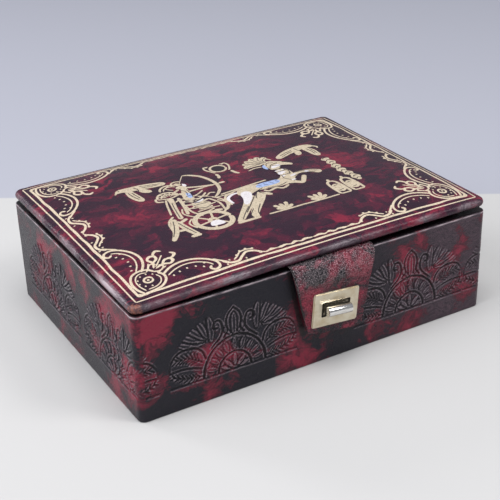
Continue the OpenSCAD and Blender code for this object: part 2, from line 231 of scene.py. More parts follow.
def surface(name, points, faces, more=()):
    """Mesh object from an array of points, an array of equal faces and a list of others."""
    mesh = bpy.data.meshes.new(name)
    if len(more):
        mesh.from_pydata(points.tolist(), [], faces.tolist() + list(more))
    else:
        size = faces.shape[1]
        mesh.vertices.add(len(points))
        mesh.vertices.foreach_set("co", points.astype(np.float32).ravel())
        mesh.loops.add(faces.size)
        mesh.loops.foreach_set("vertex_index", faces.astype(np.int32).ravel())
        mesh.polygons.add(len(faces))
        mesh.polygons.foreach_set("loop_start", np.arange(0, faces.size, size, dtype=np.int32))
        mesh.update(calc_edges=True)
    smooth = np.arange(len(mesh.polygons)) < len(faces)
    mesh.polygons.foreach_set("use_smooth", smooth)
    made = bpy.data.objects.new(name, mesh)
    bpy.context.scene.collection.objects.link(made)
    return made


def points_mm(made):
    """The points of a piece in mm, one row for each."""
    flat = np.empty(len(made.data.vertices) * 3, np.float32)
    made.data.vertices.foreach_get("co", flat)
    return flat.reshape(-1, 3) * 1000


def paint(made, name, values):
    """Keeps one number for each point of the mesh, for its finish to read."""
    layer = made.data.attributes.new(name, "FLOAT", "POINT")
    layer.data.foreach_set("value", np.asarray(values, np.float32).ravel())


def dress(made, finish, slot, body, *replaced):
    """Gives a new piece its material, its CAD body and the CAD nodes it stands for."""
    made.data.materials.append(finish.material)
    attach(made, body)
    if replaced:
        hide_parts(*replaced)
    return made


def curve(points, count):
    """Catmull-Rom curve through the points: each span is the cubic whose slope at a
    point is half the step between that point's neighbours. count points come back."""
    p = np.asarray(points, float)
    p = np.vstack([2 * p[0] - p[1], p, 2 * p[-1] - p[-2]])
    t = np.linspace(0, len(p) - 3 - 1e-9, count)
    k = t.astype(int)
    f = (t - k)[:, None]
    a, b, c, d = p[k], p[k + 1], p[k + 2], p[k + 3]
    return b + 0.5 * f * (c - a + f * (2 * a - 5 * b + 4 * c - d + f * (3 * (b - c) + d - a)))


def nearest(line, x, y):
    """Distance from each (x, y) to a line of points, and the share of its length there:
    the foot on each span is the dot product with the span, kept inside it."""
    best = np.full(x.shape, 1e9)
    share = np.zeros(x.shape)
    for k in range(len(line) - 1):
        a, d = line[k], line[k + 1] - line[k]
        t = np.clip(((x - a[0]) * d[0] + (y - a[1]) * d[1]) / max(d @ d, 1e-12), 0, 1)
        gap = np.hypot(x - a[0] - t * d[0], y - a[1] - t * d[1])
        closer = gap < best
        best[closer] = gap[closer]
        share[closer] = ((k + t) / (len(line) - 1))[closer]
    return best, share


def palmette():
    """Relief in mm of one pressed plate over its field. A line is a groove,
    -depth * hump(gap, width), with a lip beside it. A leaf is a low pillow, 0.38 times
    the root of 1 - (gap / half width) ** 2, inside a groove, with one for the midrib."""
    x, z = np.meshgrid(
        np.arange(-PLATE_HALF, PLATE_HALF + PLATE_STEP, PLATE_STEP),
        np.arange(-PLATE_DROP, PLATE_RISE, PLATE_STEP),
    )
    height = np.zeros(x.shape)

    def groove(points, depth=0.5, width=0.5, count=24):
        """Presses a line and its mirror image into the field."""
        line = curve(points, count)
        for side in (-1, 1):
            gap, _ = nearest(line * (side, 1), x, z)
            cut = -depth * hump(gap, width)
            lip = 0.3 * depth * hump(gap - 2.1 * width, width)
            np.minimum(height, cut, out=height, where=cut < -0.02)
            np.add(height, lip, out=height, where=cut > -0.1)

    def leaf(root, tip, width, bend=0.0, rib=True):
        """Raises a leaf from root to tip and its mirror image, bowed by bend."""
        root, tip = np.array(root, float), np.array(tip, float)
        way = tip - root
        middle = (root + tip) / 2 + bend * np.array([-way[1], way[0]])
        line = curve([root, middle, tip], 14)
        for side in (-1, 1):
            gap, share = nearest(line * (side, 1), x, z)
            half = width * np.sqrt(np.clip(np.sin(np.pi * (0.06 + 0.9 * share)), 0, 1)) / 2
            q = gap / np.maximum(half, 0.05)
            pillow = 0.38 * np.sqrt(np.clip(1 - q**2, 0, 1))
            rim = -0.42 * hump(gap - half - 0.1, 0.38)
            inside = q < 1
            height[inside] = np.maximum(height, pillow)[inside]
            edge = ~inside & (rim < -0.02)
            height[edge] = np.minimum(height, rim)[edge]
            if rib:
                height[inside] -= 0.34 * hump(gap, 0.3)[inside]

    for angle in np.radians([14, 32, 51, 70, 90]):
        way = np.array([np.cos(angle), np.sin(angle)])
        leaf(way * (11.3, 12), way * (17, 18.6), 3.1, rib=angle < 1.5)
    for angle in np.radians([20, 46, 90]):
        way = np.array([np.cos(angle), np.sin(angle)])
        leaf(way * (2.6, 2.6), way * (8.4, 9), 2.6, rib=False)
    for root, tip, width, bend in [
        ((17.5, 21), (34.5, 26), 3.6, -0.1), ((17, 22.4), (33, 31), 3.7, -0.07),
        ((16.4, 23), (28.4, 34.6), 3.7, -0.03), ((15.8, 23.6), (22, 36), 3.6, 0.03),
        ((13.2, 20.6), (14.6, 35.6), 3.9, 0.05),
    ]:
        leaf(root, tip, width, bend)
    sprays = [
        ([(18.6, 1.8), (27, 2.8), (37, 7)], 2.6),
        ([(19, 10.4), (26, 14.4), (34.6, 15.6)], 3.6),
    ]
    for spine, reach in sprays:
        line = curve(spine, 40)
        groove(line[::4], 0.55, 0.42)
        for k in np.linspace(5, 34, 7).astype(int):
            way = line[k + 1] - line[k]
            way /= np.hypot(*way)
            side = np.array([-way[1], way[0]])
            for sign in (-1, 1):
                tip = line[k] + way * reach * 0.9 + sign * side * reach * (1 - 0.5 * k / 40)
                groove([line[k], (line[k] + tip) / 2 + way * 0.3, tip], 0.45, 0.36, 8)
    leaf((0, 21), (0, 33), 3.6)
    leaf((2.6, 22), (4.6, 26.8), 2, -0.2, rib=False)
    turn = np.linspace(np.pi, 0, 13)
    groove(np.c_[18.3 * np.cos(turn), 20 * np.sin(turn)], 0.6, 0.5, 60)
    groove(np.c_[9.7 * np.cos(turn), 10.2 * np.sin(turn)], 0.55, 0.45, 48)
    groove([(0, 36.4), (3.2, 33), (4.4, 28.5), (3.6, 24), (5.8, 20.6)], 0.5, 0.42)
    groove([(13.2, 16.2), (8.2, 21), (6.4, 25.5), (8, 30.8), (11.2, 30.6),
            (11.6, 27.4), (9.4, 27)], 0.55, 0.45, 40)
    groove([(16.8, 11.6), (18.4, 16), (22.4, 19.4), (28, 20.4), (33.4, 18.8), (37, 14),
            (37.6, 9)], 0.55, 0.45, 40)
    groove([(19.6, 6.6), (25, 8.4), (31, 9.4), (36.8, 9.2)], 0.5, 0.42, 24)
    ground = 1 - np.clip(np.hypot(x / PLATE_HALF, np.clip(z - 6, 0, None) / 32) ** 8, 0, 1)
    pressed = -0.05 * ground * np.clip((z + 0.5) / 0.6, 0, 1)
    foot = (0.28 * hump(z + 1.0, 0.4) - 0.4 * hump(z + 0.2, 0.4)) * (np.abs(x) < 37.6)
    return height * np.clip(ground * 6, 0, 1) * (z > -0.2) + pressed + foot


def look_up(table, x, z):
    """Bilinear value of the plate's relief at (x, z) in mm; nothing outside the plate."""
    i, j = (z + PLATE_DROP) / PLATE_STEP, (x + PLATE_HALF) / PLATE_STEP
    inside = (i >= 0) & (j >= 0) & (i < table.shape[0] - 1) & (j < table.shape[1] - 1)
    i, j = np.where(inside, i, 0), np.where(inside, j, 0)
    a, b = i.astype(int), j.astype(int)
    f, g = i - a, j - b
    low = table[a, b] * (1 - g) + table[a, b + 1] * g
    high = table[a + 1, b] * (1 - g) + table[a + 1, b + 1] * g
    return np.where(inside, low * (1 - f) + high * f, 0)


def ripple(x, y, size, seed):
    """Gentle unevenness between -1 and 1: the mean of five crossed sine waves of about
    that size."""
    waves = np.random.default_rng(seed).uniform((0, 0, 0.6), (3.14, 6.28, 1.5), (5, 3))
    total = 0
    for turn, phase, stretch in waves:
        way = x * np.cos(turn) + y * np.sin(turn)
        total = total + np.sin(way * 6.28 * stretch / size + phase)
    return total / 5


def apart(places, middle, loop=None):
    """Signed distance of places from middle, places - middle; round a closed loop of
    that length it is the shorter way."""
    away = places - middle
    return away if loop is None else (away + loop / 2) % loop - loop / 2


def blots(marks, across, high, loop=None):
    """Sum of dye blots (place across, place up, size, strength) in mm. Each adds its
    strength times exp(-(distance / size) ** 2); below zero it is dark."""
    total = 0
    for u, v, size, strength in marks:
        reach = apart(across, u, loop) ** 2 + (high - v) ** 2
        total = total + strength * np.exp(-reach / size**2)
    return total


def strap_half(high):
    """Half of the closing strap's width in mm at a height: 26 at the rim, and 17.5 at
    its lower end 42 mm below, evenly between."""
    return (52 - 17 * np.clip((61.5 - high) / 42, 0, 1)) / 2


def straight_and_round(step):
    """Stations round the walls, anticlockwise from the left end of the front: the centre
    that each one's corner arc turns about, its outward normal, and the length so far."""
    half = np.array([CASE_W / 2 - CORNER, CASE_D / 2 - CORNER])
    ends = half * np.array([(-1, -1), (1, -1), (1, 1), (-1, 1)])
    centres, normals, lengths, start = [], [], [], 0.0
    for k in range(4):
        a, b = ends[k], ends[(k + 1) % 4]
        run = np.linalg.norm(b - a)
        t = np.linspace(0, 1, int(run / step) + 1)[:-1, None]
        centres.append(a + t * (b - a))
        normals.append(np.tile([(b - a)[1] / run, -(b - a)[0] / run], (len(t), 1)))
        lengths.append(start + t[:, 0] * run)
        turn = np.linspace(0, np.pi / 2, 13)[:-1] - np.pi / 2 + k * np.pi / 2
        centres.append(np.tile(b, (12, 1)))
        normals.append(np.c_[np.cos(turn), np.sin(turn)])
        lengths.append(start + run + CORNER * (turn - turn[0]))
        start += run + CORNER * np.pi / 2
    return np.vstack(centres), np.vstack(normals), np.concatenate(lengths), start


centre, outward, travel, girth = straight_and_round(0.0005)
bow = np.linspace(0, np.pi / 2, 5)
wall_z = np.arange(FOLD, RIM - FOLD + 1e-6, 0.0005)
inset = np.concatenate([
    np.linspace(BASE_TURN, FOLD, 5)[:-1], FOLD * (1 - np.sin(bow)), wall_z[1:-1] * 0,
    FOLD * (1 - np.cos(bow)), np.linspace(FOLD, WALL_IN - FOLD, 5)[1:-1],
    WALL_IN - FOLD * (1 - np.sin(bow)), [WALL_IN] * 3,
    [WALL_IN - SKIN] * 2, [SKIN] * 2, [BASE_TURN],
])
level = np.concatenate([
    bow[:4] * 0, FOLD * (1 - np.cos(bow)), wall_z[1:-1],
    RIM - FOLD * (1 - np.sin(bow)), [RIM] * 3, RIM - FOLD * (1 - np.cos(bow)),
    np.linspace(RIM - 2 * FOLD, RIM_TURN, 3),
    [RIM_TURN, RIM - SKIN], [RIM - SKIN, SKIN], [SKIN],
])
half_size = np.array([CASE_W / 2, CASE_D / 2])
deep = np.maximum(inset, CORNER)[:, None, None]
plan = centre * (half_size - deep) / (half_size - CORNER)
plan = plan + outward * np.maximum(CORNER - inset, 0)[:, None, None]

# From here on, along is the length round the walls and high the height, both in mm.
along, high = travel[None, :] * 1000, level[:, None] * 1000
girth_mm = girth * 1000
plate_relief = palmette()
relief = np.zeros((len(level), len(travel)))
for middle in (51, 163.5, 239.8, 315.8, 391.8, 467.8, 543.8, 645.85, 726.85):
    relief += look_up(plate_relief, apart(along, middle, girth_mm), high - PRESS_Z)
wave = ripple(along, high * 1.6, 46, 3) * 0.13

# The plates do not reach round the corners: the relief fades towards each arc.
arc_begins, half_arc = np.array([0.212, 0.37228, 0.59057, 0.75085]), 0.00314
to_corner = np.abs(travel[:, None] - arc_begins - half_arc).min(1) - half_arc
relief = np.where(relief > 0, relief * np.clip(to_corner / 0.004, 0.15, 1), relief)
relief *= np.clip(to_corner / 0.002 + 0.5, 0.5, 1)
bend_up = np.gradient(np.gradient(relief, 0.5, axis=0), 0.5, axis=0)
convex = -bend_up - np.gradient(np.gradient(relief, 0.5, axis=1), 0.5, axis=1)
outside = ((inset < 1e-6) & (level > FOLD) & (level < RIM - FOLD))[:, None]
raised = 1.35 * relief + wave * np.sin(np.pi * high / RIM / 1000)
lift = np.where(outside, raised / 1000, 0)
wrap = np.dstack([plan + outward * lift[:, :, None], np.broadcast_to(level[:, None], lift.shape)])

WALL_BLOTS = [
    (2, 55, 13, 1.0), (13, 52, 8, 0.7), (30, 56, 6, 0.35), (749, 26, 10, 0.9),
    (3, 20, 8, 0.7), (22, 32, 6, 0.5), (35, 26, 8, 0.8), (50, 21, 8, 0.8),
    (62, 17, 8, 0.6), (38, 6, 6, 0.8), (50, 9, 5, 0.7), (85, 12, 12, 1.0),
    (92, 38, 7, 0.9), (80, 24, 6, 0.7), (102, 4, 12, 0.6), (70, 53, 7, -0.9),
    (30, 43, 9, -0.8), (55, 38, 12, -0.9), (15, 8, 9, -0.8), (66, 6, 8, -0.8),
    (140, 9, 12, 0.75), (158, 53, 6, 0.9), (172, 56, 5, 0.7), (163, 44, 5, 0.8),
    (160, 29, 9, 0.9), (180, 33, 8, 1.0), (197, 44, 9, 1.0), (200, 12, 11, 0.8),
    (163, 5, 9, 0.7), (185, 4, 9, -0.7), (185, 55, 9, -0.8), (136, 55, 8, -0.7),
    (208, 30, 8, -0.8), (145, 38, 9, -0.5), (215, 55, 8, 0.8), (214, 20, 7, 0.6),
    (735, 55, 14, 1.1), (715, 46, 8, 0.9), (692, 52, 8, 0.8), (675, 50, 9, 0.8),
    (640, 50, 11, 1.1), (628, 30, 12, 0.9), (650, 20, 9, 0.9), (702, 22, 8, 0.8),
    (738, 24, 11, 0.9), (660, 8, 7, 0.7), (728, 8, 8, 1.0), (604, 30, 11, -0.8),
    (655, 40, 10, -0.7), (705, 38, 10, -0.7), (690, 10, 12, -0.6), (745, 42, 7, -0.7),
]
blot = 0.45 * ripple(along, high, 52, 21) + blots(WALL_BLOTS, along, high, girth_mm)

# Painted shade darkens the pressed grooves and the leather over the rim, under the lid,
# and a painted shadow of the strap lies beside its left edge between the heights 20 and 61.
press_and_shade = relief.copy()
press_and_shade[(level > RIM - FOLD) & (inset > 0.0003) | (level > RIM - 1e-6)] = -0.5
from_strap = (along - (110.2 - strap_half(high))) / 1.8
press_and_shade = np.minimum(press_and_shade, -0.5 * np.exp(-(from_strap**4)) * ((high > 20) & (high < 61)))

# lip: rubbed crests of the relief with a painted highlight, and a painted highlight line along the
# rim's fold.
on_fold = ((level > RIM - 0.0011) & (level < RIM - 0.0003) & (inset < 0.0004))[:, None]
worn = 1.4 + 0.5 * ripple(along, high, 9, 5)
lip = np.where(on_fold, worn, np.minimum(convex, 1) * outside)

# A painted sheen greys the dark dye at the right of the front and faintly round the back.
painted_sheen = (hump(along - 195, 42) + 0.15 * hump(along - 550, 200)) * np.ones(lift.shape)


def marbled(name, spread, size, shards, soft, pebble, grain, red, deep_red, dark, gloss):
    """Leather dyed in two baths. A warped cloud plus the painted blots says where the
    red lies, and spread gives red more or less of the whole. size is the clouds' cycles
    per metre, shards how far leaf-shaped patches take over from the streaks that
    feather the border, and soft the border's width. A painted sheen greys the dark
    bath, painted shade darkens the pressed places, and lip lightens rubbed crests and
    edges with a painted highlight. pebble is the grain's cells per metre, grain its
    relief in metres and gloss its least roughness. Gives the finish, its colour and
    the height of its grain."""
    dye = Finish(name, specular_ior_level=0.32)
    drift = dye.noise(dye.at, 34, 3, 0.6, out="Color")
    swayed = dye.add(
        "VectorMath", {"operation": "MULTIPLY_ADD"}, {0: drift, 1: (0.03,) * 3, 2: dye.at}
    )
    cloud = dye.noise(swayed, size, 4, 0.6, 0.7)
    streak = dye.noise(dye.stretch(swayed, (200, 380, 1300), (0.5, 0.3, 0.6)), 1, 6, 0.72)
    painted = {}
    for layer in ("blot", "lip", "painted_sheen", "press_and_shade"):
        painted[layer] = dye.add("Attribute", {"attribute_name": layer}, out="Fac")
    lip = painted["lip"]
    patches = dye.stretch(swayed, (95, 210, 150), (0.3, 0.2, 0.6))
    leaves = dye.add(
        "TexVoronoi", {"feature": "SMOOTH_F1"},
        {"Vector": patches, "Scale": 1, "Smoothness": 0.12}, "Color",
    )
    red_sum = (cloud - 0.5) * 1.1 + (streak - 0.5) * (0.75 - 0.6 * shards)
    red_sum = red_sum + painted["blot"] * 0.25
    red_sum = red_sum + (leaves - 0.5) * shards + lip.step(0.2, 1.0) * 0.05 + spread
    fleck = dye.noise(swayed, 320, 4, 0.65)
    brightest = (red_sum + (fleck - 0.5) * 0.5).step(0.05 + soft, 0.26 + 2 * soft)
    core = dye.mix(brightest, deep_red, red)
    # The dark bath greyed by a painted sheen.
    dark_with_sheen = dye.mix(painted["painted_sheen"] * streak.step(0.25, 0.75), dark, (0.105, 0.060, 0.082))
    colour = dye.mix(red_sum.step(-soft, 0.05 + soft), dark_with_sheen, core)
    # Painted highlight on the crests and edges that lip marks, rubbed leather on the case.
    rub_and_highlight = lip.step(0.15, 0.85) * (streak.step(0.40, 0.60) * 0.6 + 0.3)
    colour = dye.mix(rub_and_highlight, colour, (0.22, 0.18, 0.205))
    # Brighter painted highlight where lip passes 1.05: the line along the rim fold and the lid's
    # flank.
    colour = dye.mix(lip.step(1.05, 1.6) * 0.8, colour, (0.52, 0.44, 0.47))
    # Painted shade: near black where the pressed places are marked.
    colour = dye.mix((0 - painted["press_and_shade"]).step(0.06, 0.5) * 0.9, colour, (0.005, 0.0035, 0.005))
    pebbles = dye.add(
        "TexVoronoi", {"feature": "DISTANCE_TO_EDGE"},
        {"Vector": dye.at, "Scale": pebble, "Randomness": 1},
    )
    pores = dye.noise(dye.at, 2600, 2)
    skin = pebbles.step(0.0, 0.16) * 0.6 + pores * 0.4
    creases = dye.noise(dye.stretch(dye.at, (1, 1, 1.7)), 420, 3, 0.6)
    dye.set(
        roughness=fleck * 0.16 + gloss - lip.step(0.1, 0.6) * 0.08,
        normal=dye.bump(creases, grain * 1.8, dye.bump(skin, grain)),
    )
    return dye, colour, skin


case_dye, case_colour, _ = marbled(
    "pressed marbled leather", spread=-0.08, size=50, shards=0.15, soft=0.01, pebble=1300,
    grain=0.00011, red=(0.235, 0.015, 0.040), deep_red=(0.080, 0.007, 0.020),
    dark=(0.0066, 0.0056, 0.0128), gloss=0.22,
)
foxed = case_dye.noise(case_dye.at, 900, 2).step(0.62, 0.75)
case_dye.set(base_color=case_dye.mix(foxed * 0.3, case_colour, (0.07, 0.045, 0.055)))

# The strip is kept as four panels, whose ends meet beside the corners.
columns = len(travel)
last = columns - 24
cuts = [last, *(int(np.searchsorted(travel, place)) for place in (0.231, 0.372, 0.597)), last]
for side, begin, end in zip(("front", "right", "back", "left"), cuts, cuts[1:]):
    if begin > end:
        begin -= columns
    piece = np.arange(begin, end + 1) % columns
    panel = weave("case_leather_" + side, wrap[:, piece], along=True, caps=True)
    for layer, values in (("blot", blot), ("press_and_shade", press_and_shade), ("lip", lip), ("painted_sheen", painted_sheen)):
        paint(panel, layer, values[:, piece])
    dress(panel, case_dye, "case_leather", "case", "case_leather")

# --------------------------------------------------------- underside sheet
# Dark leatherette glued inside the leather that is turned under the base.

leatherette = Finish("dark leatherette", roughness=0.62, base_color=(0.02, 0.017, 0.019))
pebble = leatherette.add("TexVoronoi", (), {"Vector": leatherette.at, "Scale": 900})
leatherette.set(normal=leatherette.bump(pebble, 0.0001))
finish_nodes(leatherette, ["base_cover"], 0.0003)

# ---------------------------------------------------------------- lid shell
# Marbled leather over a foam pad and a board, drawn round a half-round edge
# and glued underneath. The pad crowns the top; the board has warped a little.

# In metres: the lid's underside, its corners' radius, how far the leather is turned in
# underneath, the rise of the padded top, and the radius of the half-round edge, which
# meets the top at TOP_ANGLE above level, TOP_INSET in from the outline.
LID_Z, LID_R, LID_TURN, CROWN = 0.063, 0.005, 0.011, 0.0043
HALF_EDGE, TOP_ANGLE = 0.0025, 1.25
TOP_INSET = HALF_EDGE - HALF_EDGE * np.cos(TOP_ANGLE)


def warp(x, y):
    """How far the warped board lifts the lid: down to the rim at the near left corner,
    where its distance is short, and up everywhere else."""
    near = np.exp(-((x + 0.11) ** 2 + (y + 0.081) ** 2) / 0.070**2)
    return 0.0009 - 0.0021 * near


def lid_top(x, y):
    """Height of the padded top: the edge plus a crown that is 1 minus a high power of
    the distance from the middle, in both directions, plus the warp and faint ripples."""
    a, b = half_size - TOP_INSET
    rise = (1 - np.clip(np.abs(x / a), 0, 1) ** 8) * (1 - np.clip(np.abs(y / b), 0, 1) ** 5.7)
    edge = LID_Z + HALF_EDGE + HALF_EDGE * np.sin(TOP_ANGLE)
    return edge + CROWN * rise + warp(x, y) + 0.00008 * rise * ripple(x * 1000, y * 1000, 38, 8)


def lid_shell():
    """Top, edge and turned-in margin of the lid. The top is a grid whose corner squares
    are pressed into quarter discs; the margin follows the same stations outwards over
    the half-round edge and back in underneath."""
    a, b = half_size - TOP_INSET
    r = LID_R - TOP_INSET
    nx, ny = 176, 130
    x, y = np.meshgrid(np.linspace(-a, a, nx), np.linspace(-b, b, ny))
    p = np.clip((np.abs(x) - a + r) / r, 0, 1)
    q = np.clip((np.abs(y) - b + r) / r, 0, 1)
    corner = (p > 0) & (q > 0)
    x = np.where(corner, np.sign(x) * (a - r + r * p * np.sqrt(1 - q**2 / 2)), x)
    y = np.where(corner, np.sign(y) * (b - r + r * q * np.sqrt(1 - p**2 / 2)), y)
    top = np.dstack([x, y, lid_top(x, y)])
    index = np.arange(nx * ny).reshape(ny, nx)
    loop = np.concatenate([index[0, :-1], index[:-1, -1], index[-1, :0:-1], index[:0:-1, 0]])
    rim = top.reshape(-1, 3)[loop, :2]
    middle = np.clip(rim, [-a + r, -b + r], [a - r, b - r])
    away = rim - middle
    away /= np.linalg.norm(away, axis=1, keepdims=True)
    fall = np.linspace(TOP_ANGLE, -np.pi / 2, 12)[1:]
    d = np.concatenate([HALF_EDGE * (1 - np.cos(fall)), np.linspace(HALF_EDGE, LID_TURN, 6)[1:]])
    z = np.concatenate([HALF_EDGE * (1 + np.sin(fall)), np.zeros(5)])
    deep_in = np.maximum(d, LID_R)[:, None, None]
    rings = middle * (half_size - deep_in) / (half_size - LID_R)
    rings = rings + away * np.maximum(LID_R - d, 0)[:, None, None]
    high = LID_Z + z[:, None] + warp(rings[..., 0], rings[..., 1])
    points = np.vstack([top.reshape(-1, 3), np.dstack([rings, high]).reshape(-1, 3)])
    m = len(loop)
    ring_index = np.vstack([loop, nx * ny + np.arange(len(d) * m).reshape(-1, m)])
    on = np.roll(ring_index, -1, axis=1)
    sides = np.stack([ring_index[:-1], ring_index[1:], on[1:], on[:-1]], -1).reshape(-1, 4)
    return surface("lid_leather_shell", points, np.vstack([cells(ny, nx), sides]))


lid_leather = lid_shell()
lid_x, lid_y, lid_z = points_mm(lid_leather).T
LID_BLOTS = [
    (30, 62, 22, 1.0), (-12, 62, 16, 0.8), (-34, 54, 14, 0.7), (64, 4, 16, 0.6),
    (-66, 40, 16, 0.5), (-70, 0, 14, 0.6), (-48, -20, 12, 0.5), (70, -34, 18, 0.6),
    (10, -62, 18, 0.4), (-30, -48, 14, 0.5), (48, -52, 12, 0.5), (8, 22, 14, 0.5),
    (88, 44, 18, -0.6), (78, 62, 18, -0.7), (-88, -8, 16, -0.5), (0, -46, 14, -0.4),
    (30, -10, 14, -0.5), (-40, 66, 12, -0.5), (94, -10, 18, -0.6), (-96, 60, 14, -0.5),
    (60, 30, 12, -0.5), (-14, 44, 12, -0.4), (-106, -50, 16, 0.9), (-106, 10, 20, 0.8),
    (-106, 60, 16, 0.5), (-60, -82, 14, 0.9), (-20, -82, 12, 0.7), (30, -82, 12, 0.7),
    (70, -82, 14, 0.5), (104, -70, 12, 0.5),
]
paint(lid_leather, "blot", blots(LID_BLOTS, lid_x, lid_y))

# Painted shade darkens the edge below, and painted highlights lie along its flank, most on the left
# near the front.
over_base = lid_z - 1000 * (LID_Z + warp(lid_x / 1000, lid_y / 1000))
paint(lid_leather, "press_and_shade", 0.6 * np.clip((over_base - 1.5) / 0.7, -1, 0))
at_edge = np.maximum(np.abs(lid_x / 110), np.abs(lid_y / 81)) > 0.975
left_glint = 0.9 * hump(lid_y + 56, 17) * (lid_x < -100)
flank_highlight = 0.55 + 0.9 * ripple(lid_x, lid_y, 30, 14) + left_glint
paint(lid_leather, "lip", hump(over_base - 3.6, 1.5) * at_edge * flank_highlight)
thickness = lid_leather.modifiers.new("leather", "SOLIDIFY")
thickness.thickness, thickness.offset = SKIN * 0.9, -1

lid_dye, lid_colour, _ = marbled(
    "wine marbled leather", spread=-0.03, size=52, shards=0.5, soft=0.06, pebble=1300,
    grain=0.00005, red=(0.185, 0.014, 0.036), deep_red=(0.068, 0.009, 0.026),
    dark=(0.024, 0.0082, 0.020), gloss=0.19,
)
veil = lid_dye.noise(lid_dye.stretch(lid_dye.at, (60, 110, 60), (0, 0, 0.7)), 1, 5, 0.62)
veined = lid_dye.mix(veil.step(0.5, 0.62) * 0.5, lid_colour, (0.050, 0.009, 0.024))
near_corner = (-0.109, -0.080, 0.065)
from_corner = lid_dye.add(
    "VectorMath", {"operation": "DISTANCE"}, {0: lid_dye.at, 1: near_corner}, "Value"
)
scuff = lid_dye.noise(lid_dye.at, 700, 4, 0.7)
bared = (0.0055 - from_corner + (scuff - 0.5) * 0.02).step(0.0, 0.006)
lid_dye.set(base_color=lid_dye.mix(bared * 0.75, veined, (0.34, 0.13, 0.09)))
dress(lid_leather, lid_dye, "lid_leather", "lid", "lid_leather")


def slab(name, half_x, half_y, low, high):
    """Closed slab between two heights given as functions of x and y; each row is a loop
    across the top and back across the bottom."""
    x, y = np.linspace(-half_x, half_x, 120), np.linspace(-half_y, half_y, 90)
    x, y = x[:, None] + 0 * y, y[None, :] + 0 * x[:, None]
    top, bottom = np.dstack([x, y, high(x, y)]), np.dstack([x, y, low(x, y)])
    loops = np.concatenate([top[:, ::-1], bottom], axis=1)[:, ::-1]
    return weave(name, loops, around=True, caps=True)


plank = slab("warped_lid_board", 0.1078, 0.0788,
             lambda x, y: 0.0640 + warp(x, y), lambda x, y: 0.0662 + warp(x, y))
dress(plank, plywood, "board", "lid", "lid_board")
foam = Finish("yellowed foam", roughness=0.9, base_color=(0.62, 0.52, 0.34))
foam.set(normal=foam.bump(foam.noise(foam.at, 1500, 2), 0.0003))
pad = slab("crowned_foam_pad", 0.1068, 0.0778,
           lambda x, y: 0.0663 + warp(x, y), lambda x, y: lid_top(x, y) - 0.0012)
dress(pad, foam, "foam", "lid", "lid_pad")

# ---------------------------------------------------------------- lock base
# A plated base with a boss that fills the window of the tab, riveted to the
# front; its steel washer and clip sit in a pocket of the board behind it.

plated = Finish("dull plated brass", metallic=1.0)
# The lock's middle in metres, and its turn about Y; its window's width and height.
LOCK_X, LOCK_Z, LOCK_TURN = 0.0045, 0.034, np.radians(5)
WINDOW_W, WINDOW_H = 0.018, 0.0084
from_x = plated.add("SeparateXYZ", (), {0: plated.at}, "X") - LOCK_X
from_z = plated.add("SeparateXYZ", (), {0: plated.at}, "Z") - LOCK_Z
across = from_x * np.cos(LOCK_TURN) - from_z * np.sin(LOCK_TURN)
upward = from_x * np.sin(LOCK_TURN) + from_z * np.cos(LOCK_TURN)
# Painted shade: beyond the boss's middle this finish is near black, a dark outline in the window's
# gap.
side_shade = abs(across).step(0.0070, 0.0078)
edge_shade = abs(upward).step(0.0024, 0.0031)
gap_shade = side_shade.math("MAXIMUM", side_shade, edge_shade)
polish = plated.noise(plated.at, 600, 3).step(0.35, 0.7)
metal = plated.mix(polish, (0.42, 0.37, 0.28), (0.74, 0.68, 0.54))
plated.set(
    base_color=plated.mix(gap_shade * 0.93, metal, (0.02, 0.016, 0.012)),
    roughness=0.42 - polish * 0.12,
)
finish_nodes(plated, ["lock_base", "lock_base_rivets"], 0.00025)
spring_steel = Finish("spring steel", metallic=1.0, roughness=0.4, base_color=(0.4, 0.4, 0.42))
finish_nodes(spring_steel, ["spring_washer", "spindle_clip"], 0.0001)

# ----------------------------------------------------------------- turn bar
# A half-round nickel-plated bar on a spindle. It passes the window when it
# lies level and holds the tab when it is turned upright.

nickel = Finish("bright nickel", metallic=1.0)
wiped = nickel.noise(nickel.stretch(nickel.at, (300, 2200, 2200)), 1, 3)
nickel.set(
    base_color=nickel.mix(wiped.step(0.3, 0.7), (0.70, 0.69, 0.66), (0.86, 0.85, 0.83)),
    roughness=wiped * 0.12 + 0.12,
    normal=nickel.bump(wiped, 0.00002),
)
finish_nodes(nickel, ["turn_bar", "spindle"], 0.0005)

# ------------------------------------------------------------------ the tab
# A marbled strap glued under the lid's front edge. It bends down over the
# front, bulging a little, and is cut by hand, so its lower end slopes.

# In metres: the strap's middle, its width at the bend and at the end, the height of
# its end, and how far that end's corners stand above and below it.
TAB_X, TAB_TOP, TAB_LOW, TAB_END, TAB_SKEW = 0.0045, 0.052, 0.035, 0.0195, 0.0025


